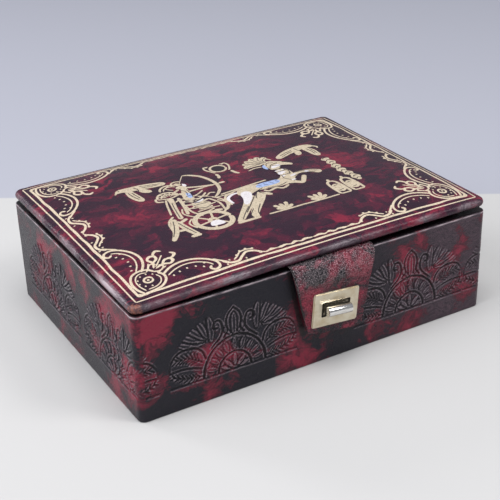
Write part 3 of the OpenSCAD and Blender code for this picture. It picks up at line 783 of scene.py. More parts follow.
def tab_strap():
    """The strap as a closed band: a line from under the lid, round the bend and down,
    with a width for each point, thickened along the line's normal, thinner at the
    cut edges; the middle stands out a little between the bend and the lock."""
    line = curve([
        (-0.0710, 0.06345), (-0.0765, 0.06340), (-0.0805, 0.06322), (-0.08310, 0.06215),
        (-0.08445, 0.05960), (-0.08505, 0.05500), (-0.08500, 0.05000), (-0.08485, 0.0450),
        (-0.08480, 0.0360), (-0.08480, 0.0270), (-0.08475, TAB_END),
    ], 70)
    way = np.gradient(line, axis=0)
    way /= np.linalg.norm(way, axis=1, keepdims=True)
    normal = np.c_[way[:, 1], -way[:, 0]]
    down = np.clip((0.0615 - line[:, 1]) / (0.0615 - TAB_END), 0, 1) * (line[:, 0] < -0.082)
    wide = TAB_TOP + (TAB_LOW - TAB_TOP) * down
    s = np.linspace(-1, 1, 53)
    s = np.sign(s) * np.abs(s) ** 0.85
    x = TAB_X + s[None, :] * wide[:, None] / 2
    rise = hump(line[:, 1] - 0.0540, 0.0050) * (line[:, 0] < -0.083)
    bulge = 0.0013 * rise[:, None] * (1 - s[None, :] ** 4) * (1 + 0.35 * np.sin(6 * s)[None, :])
    curl = 0.0012 * (down**2)[:, None] * np.clip(-s - 0.35, 0, 1)[None, :] ** 2
    end = np.clip(down - 0.55, 0, 1)[:, None] / 0.45
    drop = 0.0012 * end * np.abs(s[None, :]) ** 6 - s[None, :] * TAB_SKEW * end
    thick = 0.0014 * np.minimum(1, ((1 - np.abs(s)) / 0.05 + 0.35))[None, :] * (
        1 - 0.55 * (line[:, 0] > -0.081))[:, None]
    face = np.empty((len(line), len(s), 3))
    face[..., 0] = x
    face[..., 1] = line[:, None, 0] + normal[:, None, 0] * (bulge + curl)
    face[..., 2] = line[:, None, 1] + normal[:, None, 1] * (bulge + curl) + drop
    back = face - np.dstack([thick * 0, normal[:, None, 0] * thick, normal[:, None, 1] * thick])
    band = np.concatenate([face, back[:, ::-1]], axis=1)
    return weave("tab_strap", band[:, ::-1], around=True, caps=True)


strap = tab_strap()
strap_x, _, strap_z = points_mm(strap).T
STRAP_BLOTS = [
    (20, 58, 9, 1.0), (16, 48, 7, 0.9), (27, 52, 6, 0.6), (2, 52, 5, 0.8), (-12, 44, 7, 1.0),
    (-4, 46, 6, 0.7), (-17, 52, 5, 0.7), (10, 60, 5, 0.6), (-9, 57, 8, -1.0), (8, 53, 5, -0.8),
    (-12, 33, 6, 0.5), (20, 36, 5, 0.9), (-14, 24, 6, 0.9), (12, 20, 6, 0.8), (2, 22, 5, 0.5),
    (3, 56, 4, 0.9), (-14, 60, 5, 0.7),
]
paint(strap, "blot", blots(STRAP_BLOTS, strap_x, strap_z))
# The strap's left cut edge is darkened as a painted shadow.
cut_edge = strap_x - 1000 * TAB_X < 0.9 - strap_half(strap_z)
paint(strap, "press_and_shade", -0.55 * cut_edge)
tab_dye, tab_colour, tab_skin = marbled(
    "grained strap leather", spread=0.0, size=70, shards=0.2, soft=0.02, pebble=1050,
    grain=0.00032, red=(0.33, 0.024, 0.058), deep_red=(0.12, 0.010, 0.028),
    dark=(0.012, 0.009, 0.016), gloss=0.2,
)
valley = tab_dye.mix((1 - tab_skin).step(0.45, 0.85) * 0.75, tab_colour, (0.008, 0.005, 0.008))
# The grain's tops are rubbed and lightened with a painted highlight, most on the bulge 43 to 57 mm
# up.
crest = tab_dye.add("SeparateXYZ", (), {0: tab_dye.at}, "Z").step(0.043, 0.057)
rubbed_grain_and_highlight = tab_skin.step(0.72, 0.90) * (crest * 0.55 + 0.08)
tab_dye.set(base_color=tab_dye.mix(rubbed_grain_and_highlight, valley, (0.66, 0.55, 0.58)))
strap.data.materials.append(tab_dye.material)


def window_block(more):
    """Closed block through the tab, as wide and high as the lock's window plus more."""
    corners = np.array([(-1, -1), (1, -1), (1, 1), (-1, 1)])
    corners = corners * ((WINDOW_W + more) / 2, (WINDOW_H + more) / 2)
    c, s = np.cos(LOCK_TURN), np.sin(LOCK_TURN)
    x = LOCK_X + corners[:, 0] * c + corners[:, 1] * s
    z = LOCK_Z - corners[:, 0] * s + corners[:, 1] * c
    rows = [np.c_[x, x * 0 + y, z] for y in (-0.090, -0.080)]
    return weave("window_block", np.array(rows)[:, ::-1], around=True, caps=True)


def cut_away(made, block):
    """Takes the block out of the piece and keeps the result as the piece's own mesh."""
    cut = made.modifiers.new("window", "BOOLEAN")
    cut.object, cut.solver = block, "EXACT"
    bpy.context.view_layer.update()
    ready = made.evaluated_get(bpy.context.evaluated_depsgraph_get())
    mesh = bpy.data.meshes.new_from_object(ready)
    made.modifiers.clear()
    made.data = mesh
    bpy.data.objects.remove(block)


cut_away(strap, window_block(0.001))
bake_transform(strap)
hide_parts("tab_leather", "tab_tongue")

thin_leather = Finish("thin lining leather", roughness=0.6)
nap = thin_leather.noise(thin_leather.at, 700, 4)
thin_leather.set(
    base_color=thin_leather.mix(nap, (0.10, 0.012, 0.02), (0.18, 0.03, 0.035)),
    normal=thin_leather.bump(nap, 0.0001),
)
finish_nodes(thin_leather, ["tab_lining"])

# --------------------------------------------------------------- lock plate
# A stamped plate of satin champagne brass with a bevelled edge and a window,
# drawn to a counter plate behind the tab by four rivets.

satin = Finish("satin champagne brass", metallic=1.0)
turned_at = satin.stretch(satin.at, (1, 1, 1), (0, -LOCK_TURN, 0))
brushed = satin.noise(satin.stretch(turned_at, (90, 900, 5200)), 1, 3)
tarnish = satin.noise(satin.at, 160, 4, 0.6).step(0.35, 0.75)
satin.set(
    base_color=satin.mix(
        tarnish, satin.mix(brushed, (0.62, 0.56, 0.43), (0.76, 0.70, 0.56)), (0.55, 0.46, 0.31)
    ),
    roughness=brushed * 0.14 + 0.26,
    normal=satin.bump(brushed, 0.00002),
)
finish_nodes(satin, ["lock_plate"], 0.00018)
finish_nodes(plated, ["counter_plate", "plate_rivets"], 0.0001)

# -------------------------------------------------------------- foil on lid
# Gold foil stamped hot into the padded top: two rules, corner rings in
# crescents, scrolls along the sides and a chariot scene with white and blue.


def foil(name, strokes, finish, lift):
    """Closed strips on the padded top. A stroke is a curve through its points; the strip
    is that curve plus and minus half its width along the curve's normal, with ends
    rounded as half discs, from just under the leather to lift above it. Neighbours
    differ by 2 microns in height, so that no two faces lie in one plane."""
    points, faces, start = [], [], 0
    for order, (width, stroke) in enumerate(strokes):
        marks = np.array([(*mark, width)[:3] for mark in stroke], float)
        span = np.linalg.norm(np.diff(marks[:, :2], axis=0), axis=1).sum()
        line = curve(marks, int(np.clip(span / 0.7, 6, 400)))
        way = np.gradient(line[:, :2], axis=0)
        way /= np.maximum(np.linalg.norm(way, axis=1, keepdims=True), 1e-9)
        side = np.c_[-way[:, 1], way[:, 0]]
        run = np.r_[0, np.cumsum(np.linalg.norm(np.diff(line[:, :2], axis=0), axis=1))]
        half = np.maximum(line[:, 2], 0.15) / 2
        near_end = np.clip(1 - np.minimum(run, run[-1] - run) / half, 0, 1)
        half = (half * np.sqrt(np.clip(1 - near_end**2, 0.04, 1)))[:, None]
        left, right = line[:, :2] + side * half, line[:, :2] - side * half
        ring = np.stack([left, left, right, right], 1) / 1000
        high = lid_top(ring[..., 0], ring[..., 1])
        high += np.array([-0.0002, lift, lift, -0.0002]) + order % 7 * 2e-6
        grid = np.dstack([ring, high])
        n = 4 * len(grid)
        ends = np.array([[3, 2, 1, 0], [n - 4, n - 3, n - 2, n - 1]])
        points.append(grid.reshape(-1, 3))
        faces.append(np.vstack([cells(len(grid), 4, around=True), ends]) + start)
        start += n
    made = surface(name, np.vstack(points), np.vstack(faces))
    made.data.polygons.foreach_set("use_smooth", np.zeros(len(made.data.polygons), bool))
    return dress(made, finish, "lid_leather", "lid")


def stamped(name, light, shade, metallic):
    """Foil over leather: bright film, broken by the grain and worn thin in clouds."""
    film = Finish(name, specular_ior_level=0.6)
    cloud = film.noise(film.at, 260, 4, 0.65)
    grain = film.noise(film.at, 1900, 3, 0.6)
    worn = (cloud * 0.5 + grain * 0.5).step(0.575, 0.66)
    tone = film.mix(film.noise(film.at, 1100, 3, 0.6).step(0.36, 0.56), shade, light)
    film.set(
        base_color=film.mix(worn * 0.75, tone, (0.10, 0.02, 0.03)),
        metallic=(1 - worn) * metallic,
        roughness=grain * 0.25 + 0.28,
        normal=film.bump(grain, 0.00003),
    )
    return film


gold = stamped("champagne foil", (0.86, 0.73, 0.56), (0.66, 0.54, 0.39), 0.35)
# A darker copy of the gold, as painted shade, for the figures in the middle of the top.
shaded_gold = stamped("champagne foil in painted shade", (0.74, 0.63, 0.47), (0.53, 0.44, 0.31), 0.35)
white = stamped("white foil", (0.74, 0.71, 0.73), (0.60, 0.56, 0.59), 0.1)
blue = stamped("pale blue foil", (0.36, 0.46, 0.72), (0.26, 0.34, 0.58), 0.1)
ink = Finish("bare leather lines", roughness=0.4, base_color=(0.018, 0.009, 0.016))
ink.set(normal=ink.bump(ink.noise(ink.at, 900, 3), 0.00005))


def circle(x, y, r, begin=0.0, end=360.0):
    """Points on an arc about (x, y), from begin to end degrees."""
    t = np.radians(np.linspace(begin, end, max(5, int(abs(end - begin) / 24) + 2)))
    return [(x + r * np.cos(a), y + r * np.sin(a)) for a in t]


def spokes(x, y, inner, outer, width, angles):
    """Straight strokes from one radius about (x, y) to another, at angles in degrees."""
    ways = [np.array([np.cos(t), np.sin(t)]) for t in np.radians(angles)]
    return [(width, [tuple((x, y) + way * r) for r in (inner, outer)]) for way in ways]


def swapped(marks):
    """The same marks with their first two coordinates exchanged."""
    return [(mark[1], mark[0], *mark[2:]) for mark in marks]


def frame_rule(inset_by, width, wobble, seed):
    """Rectangle of foil inset from the lid's edge, uneven by wobble in place and width."""
    chance = np.random.default_rng(seed)
    a, b = 110 - inset_by, 81 - inset_by
    strokes = []
    for p, q in [((-a, -b), (a, -b)), ((a, -b), (a, b)), ((a, b), (-a, b)), ((-a, b), (-a, -b))]:
        p, q = np.array(p, float), np.array(q, float)
        n = int(np.linalg.norm(q - p) / 7)
        t = np.linspace(0, 1, n)[:, None]
        marks = p + (q - p) * t
        marks[1:-1] += chance.normal(0, wobble, (n - 2, 2))
        wide = width * (1 + chance.normal(0, 0.6 * wobble, (n, 1)))
        strokes.append((width, [tuple(mark) for mark in np.hstack([marks, wide])]))
    return strokes


def corner_strokes():
    """One corner's ornament, in mm from the lid's left and front edges."""
    u, v = 17.9, 17.9
    hook = [(23, 23), (22, 26.5), (24.5, 29.6), (27.2, 27.8)]
    curls = [
        [(24.6, 25.4, 0.8), (26.4, 30, 1.6), (25.2, 34, 1.3), (27.6, 36.4, 1.8), (30.6, 34.8, 1)],
        [(26.4, 30), (29.6, 32.8, 1.5), (29.8, 37, 1.3), (32.4, 39.6, 1.8), (35, 38, 1)],
    ]
    lines = [
        (1.15, circle(u, v, 2.3)), (0.7, circle(u, v, 0.5)),
        (1.3, [(11.4, 8.6), (9.6, 14), (9.6, 20), (12, 25.4), (16.6, 27.4), (21, 26.2),
               (23.4, 23)]),
        (0.7, [(13.2, 10.4), (11.9, 15), (12, 20), (14, 23.8), (17, 25), (20, 24)]),
        (1.3, [(11.4, 8.6), (16, 8.8), (21.5, 10), (25.4, 13.4), (26.4, 17.6), (24.6, 21.6)]),
        (0.7, [(14.6, 10.8), (19, 11.2), (22.6, 13.4), (24, 17), (23, 20)]),
        (1.2, [(8.4, 10.2), (10, 8.4), (12.8, 7.6)]),
        (1.0, hook), (1.0, swapped(hook)),
    ]
    lines += [(1.1, curl) for curl in curls + [swapped(curl) for curl in curls]]
    lines.append((0.8, [(26, 26), (30, 30.4), (33.4, 34.4)]))
    for k in range(7):
        t = np.radians(40 + 38 * k)
        lines.append((0.75, circle(u + 5.2 * np.cos(t), v + 5.2 * np.sin(t), 0.25)))
    return lines


def run_strokes(length):
    """Ornament along one side, from a corner to the middle: a double C-scroll with a hook
    and dots, a leafy scroll, then a rope of small waves."""
    lines = [
        (1.35, [(26, 18), (31.5, 21.6), (38, 23.4), (45, 22.4), (51, 19), (54.6, 14.6),
                (54.4, 10.6), (51.4, 9.2), (49.4, 11), (50.6, 12.8)]),
        (0.8, [(28, 16), (33, 18.8), (39, 20.2), (45, 19.2), (50, 16), (52, 13)]),
        (1.1, [(53.6, 17.4), (57, 14), (60, 11.2)]),
        (0.9, [(24.4, 20), (27, 22.2), (31, 24.2)]),
    ]
    for u, v in [(30.5, 14.6), (34.5, 16), (39, 16.8), (43.5, 16), (47, 13.8), (48.6, 16.6)]:
        lines.append((0.9, circle(u, v, 0.3)))
    leaf_at = 57.0
    leaf = [(0, 13.2), (3.5, 10.4), (8, 10), (11.4, 12.6), (15, 14.8), (19, 13.8), (22.6, 10.6)]
    vein = [(6, 11.6), (9, 13.6), (12, 16.2), (16.5, 16.6), (19.5, 15.4)]
    for width, marks in ((1.4, leaf), (0.9, vein)):
        lines.append((width, [(leaf_at + u, v) for u, v in marks]))
    for u, v in [(8.6, 15.2), (11.8, 17.8), (15.4, 18.2), (18.8, 16.8)]:
        lines.append((1.3, [(leaf_at + u, v - 1.4), (leaf_at + u + 0.8, v - 0.2)]))
    for u, v in [(4, 12.6), (1.6, 9.8), (12.6, 10.2), (20.6, 12.8)]:
        lines.append((0.9, circle(leaf_at + u, v, 0.25)))
    rope_at = leaf_at + 22.2
    n = max(4, int((length - rope_at) / 1.6))
    u = np.linspace(rope_at - 1.6, length, n)
    rope = 10.6 + 0.35 * np.sin(u * 0.9) + 0.2 * np.sin(u * 2.3)
    wide = 1.15 + 0.45 * np.sin(u * 0.9 + 1) + 0.2 * np.sin(u * 2.1)
    lines.append((1.2, [tuple(mark) for mark in np.c_[u, rope, wide]]))
    return lines


def mirrored(lines, swap=False):
    """The same strokes in all four corners of the lid; swap runs them along the sides."""
    strokes = []
    for sx, sy in [(-1, -1), (1, -1), (1, 1), (-1, 1)]:
        for width, marks in lines:
            turned = swapped(marks) if swap else marks
            strokes.append((width, [(sx * (110 - m[0]), sy * (81 - m[1]), *m[2:]) for m in turned]))
    return strokes


foil("foil_rules", frame_rule(4.6, 0.75, 0.05, 5) + frame_rule(7.9, 1.35, 0.16, 6), gold, 0.00005)
border = mirrored(corner_strokes()) + mirrored(run_strokes(110))
foil("foil_border", border + mirrored(run_strokes(81), swap=True), gold, 0.00006)

# The scene: an archer in a two-wheeled chariot behind a rearing horse, between
# two birds, over plants; a disc hangs above and two plain slabs stand ahead. A stroke
# is its width and its points in mm, some with a width of their own. Accents are
# white, cloths blue, and gaps are lines where the leather shows.
figures, accents, cloths, gaps = [], [], [], []

# left bird: body, spread wing, lowered wing, tail
figures += [
    (2, [(-65.5, 33, 2), (-62, 34.4, 4.4), (-57, 33.6, 5.8), (-50, 33, 6.4), (-42, 31.6, 6),
         (-35.4, 30.2, 4.4)]),
    (2, [(-58.6, 32, 4), (-58.4, 25, 5.6), (-57.6, 19.5, 5.4), (-56.4, 15, 3.4)]),
    (2, [(-52.5, 31, 4), (-50, 27, 4.6), (-47, 24, 3)]),
    (1.2, [(-64.6, 33.6), (-66.6, 31.2)]),
]
gaps += [
    (0.6, [(-54, 35), (-52.6, 31), (-53.6, 27)]), (0.45, [(-50, 34.4), (-44, 32.6), (-38, 31.4)]),
    (0.45, [(-50, 32.2), (-45, 31), (-40, 30.4)]), (0.5, [(-59.4, 30), (-59, 24), (-57.6, 18)]),
    (0.5, [(-57.4, 29), (-57, 24), (-56.4, 19.6)]), (0.6, circle(-62.8, 34.8, 0.25)),
]
# hanging disc with two side pieces
figures += [
    (1.4, circle(0.4, 32, 4.8)),
    (1.1, [(-4.4, 36.4), (-6.4, 37.6), (-7.2, 34), (-5.2, 29), (-4, 26.8)]),
    (1.1, [(5.2, 36.4), (7.4, 37.6), (8.4, 34), (6.6, 29), (5, 26.8)]),
    (1.9, [(-4.6, 25.6), (-4.8, 21.6), (-6.2, 19)]), (1.9, [(5.6, 25.6), (6.4, 21.6), (7.8, 19)]),
    (0.9, [(-6.8, 37.4), (-3.4, 37.6)]), (0.9, [(4, 37.6), (8, 37.4)]),
]
gaps += [(7.8, [(-3.5, 32), (4.3, 32)])]
# archer: head with a plain band, shoulders, arms, tunic, drawn bow and arrow
figures += [
    (3.5, [(-32.2, 23.6, 2.8), (-30.4, 24.4, 5), (-28.6, 23.8, 3.4)]),
    (1.1, [(-34.4, 24), (-33, 27.6), (-29.8, 28.6), (-27, 27)]),
    (2, [(-33.6, 19, 3), (-31, 20.2, 4), (-27.4, 19.4, 3.2)]),
    (2, [(-29.5, 20, 3), (-31, 14, 4.4), (-33, 8, 5.4), (-34, 1, 6.2)]),
    (1.7, [(-29, 18.4), (-22, 15.4), (-13, 12.6)]), (1.5, [(-33, 18), (-38.4, 14.4), (-36, 11.4)]),
    (1.5, [(-36, 11.4), (-28, 12.4), (-20, 12.6)]),
    (0.9, [(-37, 12.4), (-24, 12.8), (-8, 13)]), (1.8, [(-9.6, 13), (-5.6, 13.2)]),
    (1.6, [(-22.4, 34.4, 1), (-18.6, 32.6, 1.7), (-14, 27.6, 2), (-11.6, 20, 2.1),
           (-11.2, 13, 2.2), (-13, 6, 2), (-17, 0.6, 1.7), (-20.6, -2.4, 1)]),
    (0.5, [(-22.4, 34.4), (-29.4, 24.6)]), (0.5, [(-20.6, -2.4), (-36, 11.2)]),
    (0.8, [(-36, 18.6), (-39, 22.6), (-35.6, 25.6), (-33.6, 24.4)]),
]
gaps += [(0.45, [(-33, 16.6), (-31, 13), (-32.4, 8)]), (0.45, [(-29.4, 16), (-29.6, 10), (-31, 4)]),
         (0.5, [(-34.6, 6.6), (-30, 7.4)]), (0.4, [(-29.9, 25.6), (-28.6, 25.5)]),
         (0.35, [(-30.2, 26.3), (-28.4, 26.2)]), (0.35, [(-29.6, 23.2), (-28.5, 23.3)])]
accents += [(1.6, [(-27.8, 24, 1.2), (-27.4, 21.6, 2.2), (-28.4, 19.8, 1.4)])]
cloths += [(2.6, [(-31.4, 11.4, 1.6), (-31.6, 8, 2.8), (-32.6, 4, 2.6)])]
# fans of feathers on rods behind the archer
figures += [
    (1.4, circle(-42.6, 11.4, 6.6, 12, 172)), (1.1, circle(-42.6, 11.4, 4.2, 12, 172)),
    (1.2, [(-49.4, 11.8), (-42.6, 9.8), (-36, 11.8)]),
    (1.3, circle(-36.6, 19.4, 7, 36, 172)), (0.9, circle(-36.6, 19.4, 4.8, 40, 168)),
    (2.2, [(-43.2, 9.6, 4), (-44, 5, 3.2), (-47, -6, 2.8), (-49.4, -17, 3)]),
    (2, [(-38.6, 8), (-40.4, -2), (-43.6, -14)]), (1.2, [(-45.8, 9), (-48.4, 2), (-52, -10)]),
]
figures += spokes(-42.6, 11.4, 1.4, 6.2, 0.8, (30, 60, 90, 120, 150))
# chariot: box, rail, wheel with spokes, pole and a stand behind
figures += [
    (1.3, [(-40, -3.4), (-40.4, -12), (-37.6, -20)]),
    (1.5, [(-41, -2.8), (-33, -4.6), (-24.6, -2)]),
    (1.3, [(-24.6, -2), (-22.2, -10), (-23.6, -20)]),
    (1.2, [(-40, 1), (-33, -0.6), (-27, 1.8), (-22, 6)]),
    (1, [(-38.6, -8.8), (-31, -9.8), (-23.4, -8.4)]), (1, [(-38, -14), (-30, -13.4), (-23.6, -14)]),
    (4.6, [(-36, -6.6), (-29, -7), (-26.4, -6)]), (2.4, [(-35.6, -11.4), (-27, -11.4)]),
    (3, circle(-35.4, -27.6, 10.2)), (2.6, circle(-35.4, -27.6, 2)),
    (1.3, [(-25.6, -22), (-20, -16), (-18.4, -8), (-22, -1)]),
    (1.3, [(-16.4, -1.4), (0, 0.4), (15.4, 1.8)]), (1, [(-21, -3.4), (-12, -3), (-4, -1)]),
    (2, [(-64.6, -37.6, 2.4), (-60, -31, 3.4), (-56, -22, 3.8), (-53.4, -15, 3)]),
    (2, [(-50, -38.4, 3.2), (-52, -30, 4), (-53.4, -18, 3.2)]),
    (2.2, [(-58.6, -28.6), (-50, -30)]), (2.2, [(-56.6, -23), (-46.6, -18)]),
    (2.6, [(-48.4, -38.2), (-54.6, -38.2)]), (1.4, [(-60, -29.4), (-57.4, -18), (-52, -12)]),
]
figures += spokes(-35.4, -27.6, 2, 10, 1.3, (12, 72, 132, 192, 252, 312))
figures += [
    (1.1, circle(-31.6, -2, 3.6, 30, 300)), (1, circle(-38.6, -5.6, 2.6, 120, 420)),
    (1, [(-43.4, -6), (-45.6, -12), (-43, -17.6), (-39.6, -19.4)]),
    (1, [(-42.6, 3.4), (-38.6, 5.4), (-33, 4.4), (-27, 6.4), (-22, 9.6)]),
    (1.2, [(-21.4, -6), (-18.2, -12.6), (-21, -18.6), (-25, -21)]),
    (1, [(-44.6, -19.6), (-48.4, -24.6), (-47, -31.4)]),
    (1.4, [(-47.4, 7.4), (-51, 9.4), (-50, 13.4)]),
    (1, [(-28.6, 3.4), (-24, 1.6), (-20.4, 4.2), (-17.4, 3)]), (1.8, [(-40.4, -0.4), (-37.4, 2.2)]),
    (1.2, [(-27.6, -14.6), (-33, -16.4), (-39.4, -16)]), (2.2, [(-29.4, -17.4), (-24.6, -18.6)]),
]
gaps += [
    (0.6, circle(-31.6, -2, 1.9, 0, 300)), (0.5, [(-35.4, -10.4), (-31, -11.6), (-27.4, -10.6)]),
    (0.5, [(-62.6, -33.4), (-58, -25.4), (-54.6, -17)]),
    (0.5, [(-50.4, -36), (-52, -28), (-53.2, -20)]),
    (0.45, [(-44.6, 4), (-47, -5), (-49.4, -15.6)]),
]
accents += [(6, [(-39.4, -33.4, 2.4), (-35.4, -31.4, 6.2), (-31.4, -33.6, 2.4)]),
            (1.6, [(-34, -3), (-30, -2.4), (-27.4, -0.6)])]
gaps += [(0.6, [(-38.8, 0.6), (-33, -2.2), (-26.4, 0.4)]), (0.45, [(-36.4, -6), (-27, -6.2)])]
# horse: hind legs, rump, barrel, cloth, chest, neck, two heads, plumes, forelegs
figures += [
    (2, [(-25, -38, 3), (-21.4, -34, 4.2), (-16, -28, 5), (-8, -19, 6.4), (-3.4, -11, 7.6)]),
    (2, [(-14, -38, 3.2), (-12.6, -33, 4.6), (-7, -26, 5), (-0.4, -18, 5.6), (3.6, -12, 6)]),
    (2.2, [(-26.4, -38.4), (-12, -38.4)]),
    (2, [(-5.6, -11, 8), (-3, -6, 9.6), (3, -4, 8.6), (9, -5, 7.8), (20, -6, 8.6),
         (26.6, -3.4, 9), (30, 3, 8), (29.4, 11, 7.4)]),
    (1.4, [(-8.6, -3), (-14.4, -4.4), (-17.4, -9), (-17.6, -17)]),
    (2, [(29, 11, 7), (29.4, 17, 6.4), (33.6, 18.6, 5.6), (38.6, 15.6, 3.6), (41, 13.2, 2.6)]),
    (2, [(26, 16, 4), (29.4, 22.6, 4.4), (34, 20.8, 3.6), (37.4, 19, 2.4)]),
    (2, [(28, -5, 4.4), (32, -1.6, 3.6), (37.4, 0.4, 3.4), (44, -1, 4), (49.4, -5.4, 5.2)]),
    (2, [(24, -8, 4), (28, -9.6, 3.4), (31.4, -12.4, 2.8), (34.4, -9, 3), (37.6, -4.4, 2.8)]),
    (1.6, [(7, -9.6), (9, -12.4), (14.4, -11), (18, -13.4), (23, -11)]),
    (2, [(1.6, -10.4), (6, -14.6, 3.2), (8.2, -17.4, 2)]),
]
plume_tips = [(13.4, 23.4), (15, 28.4), (18.4, 32), (23, 34), (28, 34.2), (32.2, 31.6)]
for k, (x, y) in enumerate(plume_tips):
    bow = ((x + 25) / 2, (y + 22) / 2 + 1)
    figures.append((2, [(25 + k * 0.7, 22.6, 1.8), (*bow, 3), (x, y, 4)]))
    gaps.append((0.4, [(24.6 + k * 0.8, 23.6), bow, (x + 0.4, y - 0.6)]))
figures += [(1, circle(24.6, 22.6, 9.4, 18, 178)), (1, [(13.6, 18.6), (18.6, 20), (23.4, 19.4)])]
gaps += [
    (0.55, [(-16, -30), (-8, -21), (-2, -14)]), (0.5, [(25.6, 14), (29, 18.6), (34, 20.2)]),
    (0.5, [(24.4, 9.4), (28, 7.4), (33, 8.4)]), (0.5, [(24, 4), (28, 2), (33.4, 3)]),
    (0.5, [(25, 12.4), (29, 11.4), (33, 13)]), (0.5, [(29, 18), (34.6, 15.2), (39.4, 13)]),
    (0.45, [(32, -2.6), (39, -1), (46, -4)]), (0.5, circle(33.6, 19.6, 0.3)),
    (0.5, [(10, -8.4), (18, -9.4), (24, -7.4)]), (0.5, [(28, -6.6), (25.6, -2), (26.4, 2.4)]),
]
accents += [
    (2, [(-11, -21, 2.6), (-6.6, -14.6, 5), (-4.4, -9.4, 6.4), (-2.6, -5.6, 5)]),
    (1.8, [(-16.2, -16, 1.4), (-16, -9.4, 1.8), (-12.4, -5.8, 1.8), (-7.6, -4.6, 1.4)]),
    (2, [(26, 3.6, 3), (28.6, 6, 3.4), (31, 5, 2)]),
    (2, [(27.4, 14.4, 2.2), (30, 15.8, 3), (34, 15.6, 1.6)]),
    (1.8, [(30, -1.6), (34.4, -0.2)]), (2.4, [(40.4, -0.4), (43, -1)]),
    (1.3, [(25.4, 0.6), (28.4, 1.4)]), (1.3, [(26, 9.4), (29.4, 8.8)]),
    (1.2, [(30.6, 9), (32.6, 9.8)]),
    (1.4, [(31.4, 17.6), (34.2, 16.8)]), (1.3, [(27.4, -6.4), (30.6, -6.8)]),
]
gaps += [
    (0.5, [(-22, -36), (-17.4, -30.4), (-11, -23.4)]),
    (0.5, [(-11.4, -36), (-9.4, -31), (-4, -24)]),
    (0.5, [(-17, -37.4), (-15.4, -33.4), (-10.4, -27.4)]),
    (0.5, [(-2.4, -17), (2.4, -9.6), (8, -6.6)]),
    (0.5, [(31.4, 1), (33.4, 6), (31.6, 11)]), (0.5, [(35.4, 1.6), (42, 0.8), (48.6, -3.4)]),
    (0.45, [(26, 18.8), (28.4, 22.4), (32.4, 21.4)]), (0.5, [(5, -8.4), (3.4, -11), (5.4, -14)]),
]
cloths += [
    (2, [(5.4, -4.6, 3.6), (10, -3.4, 5), (16, -3.6, 5.4), (21.4, -3, 4)]),
    (1.8, [(24.4, 14.4, 1.4), (24.2, 18, 2.2), (25.4, 21, 1.4)]),
]
gaps += [(0.4, [(7, -2), (9, -5)]), (0.4, [(11, -1.6), (12.6, -5.6)]),
         (0.4, [(15, -1.6), (16.6, -5.8)]), (0.4, [(19, -1.6), (20, -5)])]
# plants on ground lines
for middle in (5.2, 27.6):
    figures.append((1.3, [(middle - 12, -38.2), (middle, -38.4), (middle + 12, -38)]))
    for bend, reach in ((152, 6), (124, 8.4), (96, 7.2), (66, 8.6), (34, 6.2)):
        t = np.radians(bend)
        x, y = middle + reach * np.cos(t), -37.4 + reach * np.sin(t)
        bow = ((middle + x) / 2, (y - 37.8) / 2 - 0.4, 2)
        figures.append((2, [(middle, -37.4, 1.4), bow, (x, y, 2.5)]))
    figures.append((1.5, circle(middle - 3, -35.6, 1.2)))
# two plain slabs with rounded tops
for x in (44.4, 53.6):
    figures += [
        (1.6, [(x - 3.4, -38), (x - 3.6, -30), (x - 2.6, -22.6), (x, -20.6), (x + 2.6, -22.6),
               (x + 3.4, -30), (x + 3.2, -38)]),
        (5.6, [(x, -35.6), (x, -30), (x, -25)]), (1.3, [(x - 3.4, -38), (x + 3.2, -38)]),
        (1.8, [(x - 0.2, -20.4), (x + 0.2, -17.6)]),
    ]
    gaps += [(0.5, [(x - 1.8, -33.6 + 6.4 * k), (x + 1.4, -33 + 6.4 * k)]) for k in range(2)]
# right bird and a knotted cord that hangs below it
figures += [
    (2, [(66.6, 30.6, 2.4), (63, 32.6, 4.6), (57, 32.4, 6), (49, 30.4, 6.2), (42, 27.4, 5.2),
         (37.6, 24.8, 3.6)]),
    (2, [(59.6, 31, 4.2), (61.4, 25, 5.6), (61.6, 19.6, 5), (62, 15.6, 3)]),
    (2, [(53.6, 30, 3.6), (53, 26, 4.2), (51.4, 22.6, 3)]),
    (1.3, [(65.6, 31.6), (68, 28.8), (67.6, 26.4)]),
]
gaps += [
    (0.5, [(54.4, 33.6), (54.8, 30), (56.4, 27)]), (0.45, [(52, 31.8), (46, 29.8), (41, 27.6)]),
    (0.45, [(51, 29.8), (46, 28), (41.4, 25.8)]), (0.5, [(60.4, 29), (61.2, 24), (61, 19)]),
    (0.5, [(62.4, 28), (62.8, 23), (62.6, 19)]),
]
knot = np.linspace(0, 1, 34)
cord_x, cord_y = 60.8 + 0.7 * np.sin(knot * 9), 10.8 - 38.4 * knot
figures += [(3, [tuple(m) for m in np.c_[cord_x, cord_y, 4.6 + 1.5 * np.sin(knot * 38)]])]
gaps += [(0.6, [(x - 1.7, y - 0.9), (x + 0.2, y + 0.9), (x + 1.8, y - 0.4)])
         for x, y in zip(cord_x[1::3], cord_y[1::3])]

# The figures take the gold in painted shade.
foil("foil_figures", figures, shaded_gold, 0.00007)
foil("foil_white", accents, white, 0.00011)
foil("foil_blue", cloths, blue, 0.00011)
foil("foil_gaps", gaps, ink, 0.00013)

# ---------------------------------------------------------- leather hinge
# One strip of the case's leather, glued to the back wall and round the lid's
# back edge; the bare strip between them is the fold. A folded cotton tape
# inside stops the lid.


def profile_along_x(name, line, thick, half_length, stations):
    """A line of (y, z) thickened along its normal to a closed outline and carried
    along X; the outline's ends are capped."""
    way = np.gradient(line, axis=0)
    way /= np.linalg.norm(way, axis=1, keepdims=True)
    normal = np.c_[way[:, 1], -way[:, 0]]
    outline = np.vstack([line, (line - normal * thick)[::-1]])
    x = np.linspace(-half_length, half_length, stations)
    grid = np.empty((stations, len(outline), 3))
    grid[..., 0] = x[:, None]
    grid[..., 1:] = outline[None]
    return weave(name, grid, around=True, caps=True)


